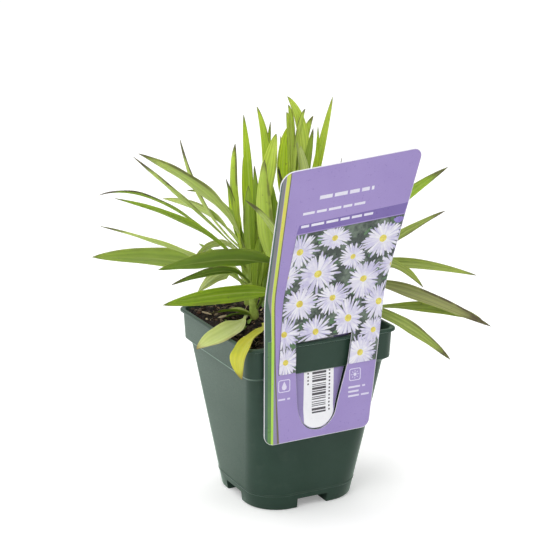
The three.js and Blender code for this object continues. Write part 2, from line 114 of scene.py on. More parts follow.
class Graph:
    """Short calls for adding nodes to one tree and joining them."""

    def __init__(self, tree: bpy.types.NodeTree) -> None:
        """Keeps the tree that the nodes go into."""
        self.tree = tree

    def put(self, socket: Socket, value: Value) -> None:
        """Gives a socket a value, or joins another node's output to it.

        Args:
            socket: The input socket.
            value: The value, or the output to join.
        """
        if isinstance(value, Socket):
            self.tree.links.new(value, socket)
        else:
            socket.default_value = value

    def add(self, kind: str, inputs: dict[str | int, Value] | None = None, **settings: object) -> Node:
        """Adds a node.

        Args:
            kind: The node's type in Blender.
            inputs: Value or output socket for each input, by name or number.
            settings: The node's own properties.

        Returns:
            The new node.
        """
        node = self.tree.nodes.new(kind)
        for name, value in settings.items():
            setattr(node, name, value)
        for name, value in (inputs or {}).items():
            self.put(node.inputs[name], value)
        return node

    def math(self, operation: str, a: Value, b: Value = 0.0, clamp: bool = False) -> Socket:
        """Output of a Math node on a and b."""
        return self.add("ShaderNodeMath", {0: a, 1: b}, operation=operation, use_clamp=clamp).outputs[0]

    def times(self, a: Value, b: Value, clamp: bool = False) -> Socket:
        """Product of a and b."""
        return self.math("MULTIPLY", a, b, clamp)

    def mix(self, share: Value, a: Value, b: Value, blend: str = "MIX") -> Socket:
        """Colour output that goes from a to b with the share."""
        inputs = {"Factor": share, 6: a, 7: b}
        return self.add("ShaderNodeMix", inputs, data_type="RGBA", blend_type=blend).outputs[2]

    def span(self, value: Value, low: Value, high: Value, start: Value = 0.0, end: Value = 1.0) -> Socket:
        """Smooth change from start to end while the value goes from low to high."""
        inputs = {"Value": value, "From Min": low, "From Max": high, "To Min": start, "To Max": end}
        return self.add("ShaderNodeMapRange", inputs, interpolation_type="SMOOTHSTEP").outputs[0]

    def noise(self, scale: Value, detail: float = 3.0, vector: Value | None = None) -> Socket:
        """Noise over the piece's own coordinates, or over the given ones."""
        place = self.place() if vector is None else vector
        return self.add("ShaderNodeTexNoise", {"Vector": place, "Scale": scale, "Detail": detail}).outputs[0]

    def place(self) -> Socket:
        """The piece's own coordinates, in metres."""
        return self.add("ShaderNodeTexCoord").outputs["Object"]

    def attribute(self, name: str) -> Socket:
        """A value that the mesh holds at its points."""
        return self.add("ShaderNodeAttribute", attribute_name=name).outputs["Fac"]


class Effect:
    """A shader node group with named sockets, built once and placed in each material with its own values."""

    title = ""
    takes: tuple[tuple[str, str, Value], ...] = ()
    gives: tuple[tuple[str, str], ...] = ()

    @classmethod
    def wire(cls, graph: Graph, source: Node, target: Node) -> None:
        """Fills the group between its input and output nodes."""
        raise NotImplementedError

    @classmethod
    def group(cls) -> bpy.types.NodeTree:
        """The group's tree, made on first use.

        Returns:
            The tree.
        """
        found = bpy.data.node_groups.get(cls.title)
        if found is not None:
            return found
        made = bpy.data.node_groups.new(cls.title, "ShaderNodeTree")
        for name, kind, value in cls.takes:
            made.interface.new_socket(name=name, in_out="INPUT", socket_type=kind).default_value = value
        for name, kind in cls.gives:
            made.interface.new_socket(name=name, in_out="OUTPUT", socket_type=kind)
        cls.wire(Graph(made), made.nodes.new("NodeGroupInput"), made.nodes.new("NodeGroupOutput"))
        return made

    @classmethod
    def use(cls, graph: Graph, **values: Value) -> Node:
        """Places the group in a material.

        Args:
            graph: The material's graph.
            values: Value or output socket for each named input, with _ for a space.

        Returns:
            The group's node.
        """
        node = graph.add("ShaderNodeGroup", node_tree=cls.group())
        for name, value in values.items():
            graph.put(node.inputs[name.replace("_", " ").title()], value)
        return node


class Mottle(Effect):
    """Soft patches of two sizes, as a mask."""

    title = "mottle"
    takes = (
        ("Scale", "NodeSocketFloat", 60.0),
        ("Low", "NodeSocketFloat", 0.35),
        ("High", "NodeSocketFloat", 0.65),
    )
    gives = (("Mask", "NodeSocketFloat"),)

    @classmethod
    def wire(cls, graph: Graph, source: Node, target: Node) -> None:
        """Adds a coarse noise and one about four times finer.

        Args:
            graph: The group's graph.
            source: Its input node.
            target: Its output node.
        """
        coarse = graph.noise(source.outputs["Scale"], 4.0)
        fine = graph.noise(graph.times(source.outputs["Scale"], 4.3), 4.0)
        both = graph.math("ADD", graph.times(coarse, 0.68), graph.times(fine, 0.32))
        graph.put(target.inputs["Mask"], graph.span(both, source.outputs["Low"], source.outputs["High"]))


class Grain(Effect):
    """Fine surface grain, as a value and a normal."""

    title = "surface grain"
    takes = (
        ("Scale", "NodeSocketFloat", 900.0),
        ("Stretch", "NodeSocketVector", (1.0, 1.0, 1.0)),
        ("Strength", "NodeSocketFloat", 0.3),
        ("Depth", "NodeSocketFloat", 0.0001),
    )
    gives = (("Value", "NodeSocketFloat"), ("Normal", "NodeSocketVector"))

    @classmethod
    def wire(cls, graph: Graph, source: Node, target: Node) -> None:
        """Noise over stretched coordinates, raised by a Bump node.

        Args:
            graph: The group's graph.
            source: Its input node.
            target: Its output node.
        """
        given = source.outputs
        inputs = {0: graph.place(), 1: given["Stretch"]}
        place = graph.add("ShaderNodeVectorMath", inputs, operation="MULTIPLY").outputs[0]
        value = graph.noise(given["Scale"], 5.0, place)
        inputs = {"Strength": given["Strength"], "Distance": given["Depth"], "Height": value}
        bump = graph.add("ShaderNodeBump", inputs)
        graph.put(target.inputs["Value"], value)
        graph.put(target.inputs["Normal"], bump.outputs[0])


class Settled(Effect):
    """Dust and dried splashes, more of them on faces that look up, as a mask."""

    title = "settled dust"
    takes = (("Amount", "NodeSocketFloat", 0.3), ("Scale", "NodeSocketFloat", 140.0))
    gives = (("Mask", "NodeSocketFloat"),)

    @classmethod
    def wire(cls, graph: Graph, source: Node, target: Node) -> None:
        """Specks by noise, weighted by how far the face looks up.

        Args:
            graph: The group's graph.
            source: Its input node.
            target: Its output node.
        """
        normal = graph.add("ShaderNodeNewGeometry").outputs["Normal"]
        up = graph.add("ShaderNodeSeparateXYZ", {0: normal}).outputs["Z"]
        facing = graph.span(up, -0.3, 1.0, 0.25, 1.0)
        specks = graph.span(graph.noise(source.outputs["Scale"], 8.0), 0.52, 0.72)
        film = graph.span(graph.noise(graph.times(source.outputs["Scale"], 0.12), 2.0), 0.35, 0.7, 0.15, 0.6)
        both = graph.math("MAXIMUM", specks, film)
        amount = graph.times(facing, source.outputs["Amount"])
        graph.put(target.inputs["Mask"], graph.times(both, amount, clamp=True))


class LeafLines(Effect):
    """The lines of a long leaf from its run and across values: mid rib, side veins and rim, as masks."""

    title = "leaf lines"
    takes = (
        ("Run", "NodeSocketFloat", 0.5),
        ("Across", "NodeSocketFloat", 0.0),
        ("Width", "NodeSocketFloat", 6.0),
        ("Edge", "NodeSocketFloat", 0.0),
    )
    gives = (("Rib", "NodeSocketFloat"), ("Veins", "NodeSocketFloat"), ("Rim", "NodeSocketFloat"))

    @classmethod
    def wire(cls, graph: Graph, source: Node, target: Node) -> None:
        """The rib fades to the tip, the veins run along the leaf, and the rim lies on one side only.

        Args:
            graph: The group's graph.
            source: Its input node.
            target: Its output node.
        """
        away = graph.math("ABSOLUTE", source.outputs["Across"])
        narrow = graph.math("DIVIDE", 0.75, source.outputs["Width"])
        reach = graph.math("MINIMUM", graph.math("ADD", narrow, 0.04), 0.3)
        rib = graph.math("SUBTRACT", 1.0, graph.math("DIVIDE", away, reach), clamp=True)
        fade = graph.span(source.outputs["Run"], 0.55, 1.0, 1.0, 0.3)
        graph.put(target.inputs["Rib"], graph.times(rib, fade))
        wander = graph.times(graph.noise(55.0, 2.0), 5.0)
        wave = graph.math("SINE", graph.math("ADD", graph.times(away, 15.0), wander))
        graph.put(target.inputs["Veins"], graph.math("ADD", graph.times(wave, 0.5), 0.5, clamp=True))
        side = graph.times(source.outputs["Across"], source.outputs["Edge"])
        graph.put(target.inputs["Rim"], graph.span(side, 0.5, 0.95))


def new_material(title: str) -> tuple[Material, Graph, Node]:
    """A material with only its Principled shader and output.

    Args:
        title: The material's name.

    Returns:
        The material, its graph and its shader.
    """
    material = bpy.data.materials.new(title)
    material.use_nodes = True
    material.node_tree.nodes.clear()
    graph = Graph(material.node_tree)
    shader = graph.add("ShaderNodeBsdfPrincipled")
    graph.add("ShaderNodeOutputMaterial", {"Surface": shader.outputs[0]})
    return material, graph, shader


@dataclass(frozen=True)
class PlasticFinish:
    """Moulded plastic with a fine grain, faint patches, some dust and a pale sheen."""

    title: str
    colour: Colour
    worn: Colour
    dust: Colour = tint(176, 170, 156)
    rough: tuple[float, float] = (0.34, 0.5)
    dusty: float = 0.2
    grain: float = 0.35
    shine: float = 0.5
    sheen: float = 0.0
    sheen_rough: float = 0.3
    sheen_tint: Colour = tint(208, 238, 218)

    def material(self) -> Material:
        """Builds the material.

        Returns:
            The material.
        """
        material, graph, shader = new_material(self.title)
        shader.inputs["Specular IOR Level"].default_value = self.shine
        shader.inputs["Sheen Weight"].default_value = self.sheen
        shader.inputs["Sheen Roughness"].default_value = self.sheen_rough
        shader.inputs["Sheen Tint"].default_value = self.sheen_tint
        patches = Mottle.use(graph, scale=38.0, low=0.36, high=0.66).outputs["Mask"]
        base = graph.mix(graph.times(patches, 0.55), self.colour, self.worn)
        dust = Settled.use(graph, amount=self.dusty, scale=150.0).outputs["Mask"]
        graph.put(shader.inputs["Base Color"], graph.mix(dust, base, self.dust))
        grain = Grain.use(graph, scale=1500.0, strength=self.grain, depth=0.00012)
        rough = graph.span(grain.outputs["Value"], 0.3, 0.7, self.rough[0], self.rough[1])
        graph.put(shader.inputs["Roughness"], graph.math("ADD", rough, graph.times(dust, 0.4), clamp=True))
        graph.put(shader.inputs["Normal"], grain.outputs["Normal"])
        return material


@dataclass(frozen=True)
class PrintFinish:
    """Ink printed on a glossy card: a colour that drifts a little, with a fine screen."""

    title: str
    colour: Colour
    drift: Colour
    scale: float = 30.0
    rough: float = 0.32
    low: float = 0.3
    high: float = 0.7

    def material(self) -> Material:
        """Builds the material.

        Returns:
            The material.
        """
        material, graph, shader = new_material(self.title)
        patches = Mottle.use(graph, scale=self.scale, low=self.low, high=self.high).outputs["Mask"]
        tone = graph.attribute("tone")
        base = graph.mix(patches, self.colour, self.drift)
        shade = graph.mix(graph.times(tone, 0.8), base, self.drift)
        screen = graph.noise(5200.0, 1.0)
        fine = graph.span(screen, 0.35, 0.65, 0.965, 1.02)
        grey = graph.add("ShaderNodeCombineColor", {0: fine, 1: fine, 2: fine}).outputs[0]
        graph.put(shader.inputs["Base Color"], graph.mix(1.0, shade, grey, "MULTIPLY"))
        grain = Grain.use(graph, scale=700.0, strength=0.12, depth=0.00006)
        rough = graph.span(grain.outputs["Value"], 0.3, 0.7, self.rough - 0.05, self.rough + 0.07)
        graph.put(shader.inputs["Roughness"], rough)
        graph.put(shader.inputs["Normal"], grain.outputs["Normal"])
        shader.inputs["Coat Weight"].default_value = 0.25
        shader.inputs["Coat Roughness"].default_value = 0.2
        return material


@dataclass(frozen=True)
class SoilFinish:
    """Damp peat or bark: dark, crumbly and dull, with lighter crumbs by the mesh's own tone."""

    title: str
    wet: Colour
    dry: Colour
    light: Colour
    scale: float = 260.0

    def material(self) -> Material:
        """Builds the material.

        Returns:
            The material.
        """
        material, graph, shader = new_material(self.title)
        patches = Mottle.use(graph, scale=self.scale, low=0.38, high=0.66).outputs["Mask"]
        base = graph.mix(patches, self.wet, self.dry)
        tone = graph.attribute("tone")
        graph.put(shader.inputs["Base Color"], graph.mix(tone, base, self.light))
        shader.inputs["Specular IOR Level"].default_value = 0.3
        grain = Grain.use(graph, scale=1700.0, strength=0.9, depth=0.0005)
        graph.put(shader.inputs["Roughness"], graph.span(grain.outputs["Value"], 0.3, 0.7, 0.62, 0.95))
        graph.put(shader.inputs["Normal"], grain.outputs["Normal"])
        return material


@dataclass(frozen=True)
class StemFinish:
    """A green young stem with fine ridges, browner at the soil."""

    title: str
    young: Colour = tint(182, 204, 92)
    old: Colour = tint(146, 168, 70)
    foot: Colour = tint(112, 98, 60)

    def material(self) -> Material:
        """Builds the material.

        Returns:
            The material.
        """
        material, graph, shader = new_material(self.title)
        run = graph.attribute("run")
        patches = Mottle.use(graph, scale=170.0, low=0.35, high=0.65).outputs["Mask"]
        base = graph.mix(patches, self.young, self.old)
        low = graph.span(run, 0.1, 0.34, 0.75, 0.0)
        graph.put(shader.inputs["Base Color"], graph.mix(low, base, self.foot))
        grain = Grain.use(graph, scale=1500.0, stretch=(1.0, 1.0, 0.12), strength=0.7, depth=0.00035)
        graph.put(shader.inputs["Roughness"], graph.span(grain.outputs["Value"], 0.3, 0.7, 0.48, 0.7))
        graph.put(shader.inputs["Normal"], grain.outputs["Normal"])
        return material


@dataclass(frozen=True)
class LeafFinish:
    """Living leaf: colours by its own values, a pale rib, long veins, a dark edge and tip, a duller back, and
    painted light that lifts its palest leaves.
    """

    title: str
    fresh: Colour = tint(208, 234, 58)
    mid: Colour = tint(150, 180, 40)
    deep: Colour = tint(62, 88, 22)
    olive: Colour = tint(146, 139, 104)
    pale: Colour = tint(190, 203, 124)
    rib: Colour = tint(212, 224, 132)
    dark: Colour = tint(66, 44, 52)
    back: Colour = tint(168, 190, 84)
    spots: float = 0.35
    rough: tuple[float, float] = (0.4, 0.56)
    # Faded pale colour, lightened further as painted light for pale leaves that sit in the shade of others
    faded_and_lit: Colour = tint(232, 238, 196)

    def material(self) -> Material:
        """Builds the material.

        Returns:
            The material.
        """
        material, graph, shader = new_material(self.title)
        names = ("run", "across", "width", "edge", "tone", "deep", "olive", "pale", "tip")
        value = {name: graph.attribute(name) for name in names}
        lines = LeafLines.use(graph, **{name: value[name] for name in names[:4]})
        patches = Mottle.use(graph, scale=62.0, low=0.32, high=0.68).outputs["Mask"]
        varied = graph.math("ADD", graph.times(patches, 0.35), value["tone"], clamp=True)
        base = graph.mix(varied, self.fresh, self.mid)
        for name, colour in (("deep", self.deep), ("olive", self.olive), ("pale", self.pale)):
            base = graph.mix(value[name], base, colour)
        # The palest leaves mix towards the faded colour: partly their own pale tone, partly painted light
        # against the shade they sit in
        base = graph.mix(graph.span(value["pale"], 0.65, 0.85, 0.0, 0.9), base, self.faded_and_lit)
        foot = graph.span(value["run"], 0.02, 0.3, 0.3, 0.0)
        base = graph.mix(foot, base, self.pale)
        base = graph.mix(graph.times(lines.outputs["Veins"], 0.3), base, self.deep)
        base = graph.mix(graph.times(lines.outputs["Rib"], 0.32), base, self.rib)
        under = graph.attribute("under")
        base = graph.mix(graph.times(under, graph.span(value["deep"], 0.0, 0.8, 0.4, 0.1)), base, self.back)
        specks = graph.span(graph.noise(420.0, 2.0), 0.68, 0.78)
        base = graph.mix(graph.times(specks, self.spots), base, self.dark)
        broken = graph.span(graph.noise(120.0, 3.0), 0.3, 0.6, 0.2, 0.85)
        uneven = graph.times(broken, graph.span(value["run"], 0.3, 0.75, 0.15, 1.0))
        uneven = graph.times(uneven, graph.span(value["tip"], 0.0, 0.16, 0.55, 1.2))
        base = graph.mix(graph.times(lines.outputs["Rim"], uneven, clamp=True), base, self.dark)
        reach = graph.math("ADD", value["run"], graph.times(graph.math("ABSOLUTE", value["across"]), 0.03))
        ragged = graph.math("ADD", reach, graph.times(graph.noise(190.0, 3.0), 0.05))
        past = graph.math("SUBTRACT", ragged, graph.math("SUBTRACT", 1.065, value["tip"]))
        burnt = graph.times(graph.span(past, -0.06, 0.04), 0.85)
        graph.put(shader.inputs["Base Color"], graph.mix(burnt, base, self.dark))
        gloss = graph.span(patches, 0.0, 1.0, self.rough[0], self.rough[1])
        graph.put(shader.inputs["Roughness"], graph.math("ADD", gloss, graph.times(under, 0.14), clamp=True))
        grain = Grain.use(graph, scale=1300.0, strength=0.25, depth=0.00012)
        height = graph.math("SUBTRACT", lines.outputs["Veins"], graph.times(lines.outputs["Rib"], 0.8))
        inputs = {"Strength": 0.35, "Distance": 0.00018, "Height": height, "Normal": grain.outputs["Normal"]}
        graph.put(shader.inputs["Normal"], graph.add("ShaderNodeBump", inputs).outputs[0])
        shader.inputs["Specular IOR Level"].default_value = 0.3
        shader.inputs["Subsurface Weight"].default_value = 0.3
        shader.inputs["Subsurface Radius"].default_value = (0.8, 1.0, 0.25)
        shader.inputs["Subsurface Scale"].default_value = 0.0015
        return material


@dataclass(frozen=True)
class FloorFinish:
    """Plain pale studio floor, lifted towards white for the camera."""

    title: str = "studio_floor"
    colour: Colour = (0.9, 0.9, 0.9, 1.0)
    lift: float = 0.28

    def material(self) -> Material:
        """Builds the material.

        Returns:
            The material.
        """
        material, graph, shader = new_material(self.title)
        shader.inputs["Base Color"].default_value = self.colour
        shader.inputs["Emission Color"].default_value = self.colour
        shader.inputs["Roughness"].default_value = 0.9
        seen = graph.add("ShaderNodeLightPath").outputs["Is Camera Ray"]
        graph.put(shader.inputs["Emission Strength"], graph.times(seen, self.lift))
        return material


class Mesh:
    """Gathers points in millimetres, faces, finishes and values at the points, and makes one object."""

    def __init__(self) -> None:
        """Starts empty."""
        self.points: list[Vector] = []
        self.faces: Faces = []
        self.finish: list[int] = []
        self.values: dict[str, list[float]] = {}

    def add(self, points: list[Vector], faces: Faces, finish: int = 0, **values: float | list) -> None:
        """Adds one closed body.

        Args:
            points: Its points, in millimetres.
            faces: Its faces, by number of point.
            finish: Number of its material on the object.
            values: One number, or one for each point, for each named value.
        """
        start = len(self.points)
        self.points += points
        self.faces += [tuple(start + k for k in face) for face in faces]
        self.finish += [finish] * len(faces)
        for name, value in values.items():
            held = self.values.setdefault(name, [])
            held += [0.0] * (start - len(held))
            held += value if isinstance(value, list) else [value] * len(points)
        for held in self.values.values():
            held += [0.0] * (len(self.points) - len(held))

    def rings(self, rows: list[list[Vector]], finish: int = 0, **values: float | list) -> None:
        """Adds a body that joins rings of points, closed at both ends.

        Args:
            rows: The rings, each with as many points.
            finish: Number of its material on the object.
            values: One number, or one for each point, for each named value.
        """
        count = len(rows[0])
        faces: Faces = []
        for row in range(len(rows) - 1):
            low, high = row * count, (row + 1) * count
            for k in range(count):
                after = (k + 1) % count
                faces.append((low + k, low + after, high + after, high + k))
        last = (len(rows) - 1) * count
        faces.append(tuple(reversed(range(count))))
        faces.append(tuple(range(last, last + count)))
        self.add([point for row in rows for point in row], faces, finish, **values)

    def build(self, name: str, materials: list[Material], sharp: float = 40.0) -> Piece:
        """Makes the object.

        Args:
            name: Its name.
            materials: Its materials, in the order of the finish numbers.
            sharp: Angle in degrees from which an edge is shaded sharp.

        Returns:
            The linked object.
        """
        mesh = bpy.data.meshes.new(name)
        mesh.from_pydata([point * MM for point in self.points], [], self.faces)
        for material in materials:
            mesh.materials.append(material)
        mesh.polygons.foreach_set("material_index", self.finish)
        for title, held in self.values.items():
            mesh.attributes.new(title, "FLOAT", "POINT").data.foreach_set("value", held)
        return settle(new_object(name, mesh), sharp)


def new_object(name: str, mesh: bpy.types.Mesh) -> Piece:
    """Object of a mesh, linked to the scene.

    Args:
        name: Its name.
        mesh: Its mesh.

    Returns:
        The object.
    """
    piece = bpy.data.objects.new(name, mesh)
    bpy.context.scene.collection.objects.link(piece)
    return piece


def settle(piece: Piece, sharp: float = 40.0) -> Piece:
    """Turns the faces outwards and sets smooth shading with sharp edges from an angle up.

    Args:
        piece: The object.
        sharp: The angle, in degrees.

    Returns:
        The same object.
    """
    flat = bmesh.new()
    flat.from_mesh(piece.data)
    bmesh.ops.recalc_face_normals(flat, faces=flat.faces)
    flat.to_mesh(piece.data)
    flat.free()
    piece.data.shade_smooth()
    piece.data.set_sharp_from_angle(angle=math.radians(sharp))
    return piece


def bake(piece: Piece) -> Piece:
    """Applies the object's modifiers to its mesh.

    Args:
        piece: The object.

    Returns:
        The same object.
    """
    bpy.context.view_layer.update()
    mesh = bpy.data.meshes.new_from_object(piece.evaluated_get(bpy.context.evaluated_depsgraph_get()))
    piece.modifiers.clear()
    piece.data = mesh
    return piece


def dress(piece: Piece, slot: str, *nodes: str) -> Piece:
    """Lets a piece ride on the part, hides the nodes that it stands for, and reports it.

    Args:
        piece: The object.
        slot: Name of its slot; not used.
        nodes: The nodes, if any.

    Returns:
        The same object.
    """
    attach(piece, "root")
    if nodes:
        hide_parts(*nodes)
    LOG.info("%s: %d faces", piece.name, len(piece.data.polygons))
    return piece


def square_ring(half: float, radius: float, z: float, steps: int = 10, side: int = 1) -> list[Vector]:
    """Rounded square at one height, counter-clockwise from above.

    Args:
        half: Half its width.
        radius: Its corner radius.
        z: Its height.
        steps: Points on each corner, less one.
        side: Parts that each straight side is cut into.

    Returns:
        The ring's points.
    """
    ring: list[Vector] = []
    for corner in range(4):
        middle = math.pi / 4 + corner * math.pi / 2
        x = math.copysign(half - radius, math.cos(middle))
        y = math.copysign(half - radius, math.sin(middle))
        for k in range(steps + 1):
            angle = (corner + k / steps) * math.pi / 2
            ring.append(around((x, y), radius, angle, z))
        follow = (corner + 1) * math.pi / 2
        turned = Vector((-math.sin(follow), math.cos(follow), 0.0))
        for k in range(1, side):
            ring.append(ring[-1] + turned * (2 * (half - radius) / side))
    return ring


def wall_at(z: float) -> tuple[float, float]:
    """Half width and corner radius of the pot's wall at a height."""
    share = z / LEDGE_BOTTOM
    return lerp(BASE_HALF, LEDGE_HALF, share), lerp(20.0, 8.0, share)


@dataclass
class Pot:
    """The square nursery pot with a deep collar, four foot pads and drain holes."""

    notch_half: float = 9.5
    notch_height: float = 5.8
    floor: float = 1.2
    drain_radius: float = 4.0
    drain_offset: float = 17.0
    bead_low: float = 8.6
    bead_out: float = 0.28
    drain_sides: int = 28
    slot_height: float = 8.2
    finish: PlasticFinish = PlasticFinish(
        "pot_plastic", tint(33, 60, 47), tint(42, 68, 56),
        rough=(0.38, 0.5), dusty=0.06, grain=0.3, shine=0.3, sheen=0.8,
    )

    def outline(self) -> list[Place]:
        """Half width, corner radius and height from the foot up, over the rim and down the inside.

        Returns:
            The rows of the outline.
        """
        bead = self.bead_low
        wall = [(*wall_at(z), z) for z in (0.9, bead)]
        raised = []
        for z in (bead + 0.35, bead + 1.0):
            half, radius = wall_at(z)
            raised.append((half + self.bead_out, radius + self.bead_out, z))
        upper = [(*wall_at(z), z) for z in (bead + 1.35, 30.0, 56.0, LEDGE_BOTTOM - 0.7)]
        base, ledge, low, rim = BASE_HALF, LEDGE_HALF, COLLAR_BOTTOM_HALF, RIM_HALF
        top = rim - LIP
        foot = [(base - 1.1, 18.9, 0.0), (base - 0.6, 19.4, 0.1), (base - 0.15, 19.8, 0.4)]
        shoulder = [
            (ledge + 0.05, 8.0, 82.8), (ledge + 0.4, 7.9, 83.3),
            (low - 0.5, 6.8, 84.8), (low - 0.1, 6.5, 85.15), (low + 0.02, 6.5, 85.6),
        ]
        lip = [
            (top - 0.03, 6.3, 100.0), (top + 0.1, 6.2, 100.3),
            (rim - 0.12, 6.2, 100.85), (rim, 6.2, 101.1), (rim, 6.2, 101.9),
            (rim - 0.15, 6.05, 102.25), (rim - 0.5, 5.7, POT_HEIGHT),
            (top - 0.6, 5.4, POT_HEIGHT), (top - 0.9, 5.2, 102.3), (top - WALL, 5.2, 101.8),
        ]
        step = [
            (low - WALL, 5.5, 86.1), (low - 1.15, 5.4, 85.75),
            (ledge - 0.85, 6.9, 83.9), (ledge - 1.05, 7.0, 83.4),
        ]
        inside = [(*(value - WALL for value in wall_at(z)), z) for z in (56.0, 30.0)]
        half, radius = wall_at(WALL)
        floor = [(half - inset, radius - inset, z) for inset, z in ((WALL, 1.9), (1.4, 1.2), (2.1, WALL))]
        return foot + wall + raised + upper + shoulder + lip + step + inside + floor

    def box(self, name: str, size: Place, middle: Place) -> Piece:
        """A block of one size with its middle at a point, for cutting and joining.

        Args:
            name: Its name.
            size: Its sides.
            middle: The point.

        Returns:
            The block.
        """
        block = Mesh()
        x, y, z = (side / 2 for side in size)
        corners = ((1, 1), (-1, 1), (-1, -1), (1, -1))
        low = [Vector((a * x, b * y, -z)) + Vector(middle) for a, b in corners]
        block.rings([low, [point + Vector((0, 0, 2 * z)) for point in low]])
        return block.build(name, [])

    def combine(self, body: Piece, tool: Piece, operation: str) -> None:
        """Joins a tool to the body or cuts it away, and removes the tool.

        Args:
            body: The object to change.
            tool: The object that it is changed with.
            operation: UNION or DIFFERENCE.
        """
        modifier = body.modifiers.new("cut", "BOOLEAN")
        modifier.operation = operation
        modifier.object = tool
        modifier.solver = "EXACT"
        bake(body)
        bpy.data.objects.remove(tool)

    def build(self) -> Piece:
        """Builds the pot.

        Returns:
            The dressed pot.
        """
        shell = Mesh()
        shell.rings([square_ring(half, radius, z) for half, radius, z in self.outline()])
        pot = shell.build("pot_body", [self.finish.material()])
        channel = 2 * (self.notch_half + WALL)
        top = self.notch_height + self.floor
        length = 2 * (wall_at(0.0)[0] - 0.4)
        for size in ((length, channel, top - 0.3), (channel, length, top - 0.3)):
            self.combine(pot, self.box("raised", size, (0, 0, top / 2 + 0.15)), "UNION")
        long, deep = 2.4 * RIM_HALF, 2 * self.notch_height
        for size in ((long, 2 * self.notch_half, deep), (2 * self.notch_half, long, deep)):
            self.combine(pot, self.box("channel", size, (0, 0, 0)), "DIFFERENCE")
        drains = Mesh()
        for x, y in ((0, 0), (1, 0), (-1, 0), (0, 1), (0, -1)):
            rows = []
            for z in (-1.0, top + 2.0):
                middle = (x * self.drain_offset, y * self.drain_offset)
                angles = [k / self.drain_sides * 2 * math.pi for k in range(self.drain_sides)]
                rows.append([around(middle, self.drain_radius, angle, z) for angle in angles])
            drains.rings(rows)
        self.combine(pot, drains.build("drains", []), "DIFFERENCE")
        width, depth = SLOT_RIGHT - SLOT_LEFT, SLOT_INNER - SLOT_OUTER
        middle = (
            (SLOT_LEFT + SLOT_RIGHT) / 2, (SLOT_OUTER + SLOT_INNER) / 2, (LEDGE_BOTTOM + COLLAR_BOTTOM) / 2
        )
        self.combine(pot, self.box("slot", (width, depth, self.slot_height), middle), "DIFFERENCE")
        return dress(settle(pot, 32.0), "pot", "pot")


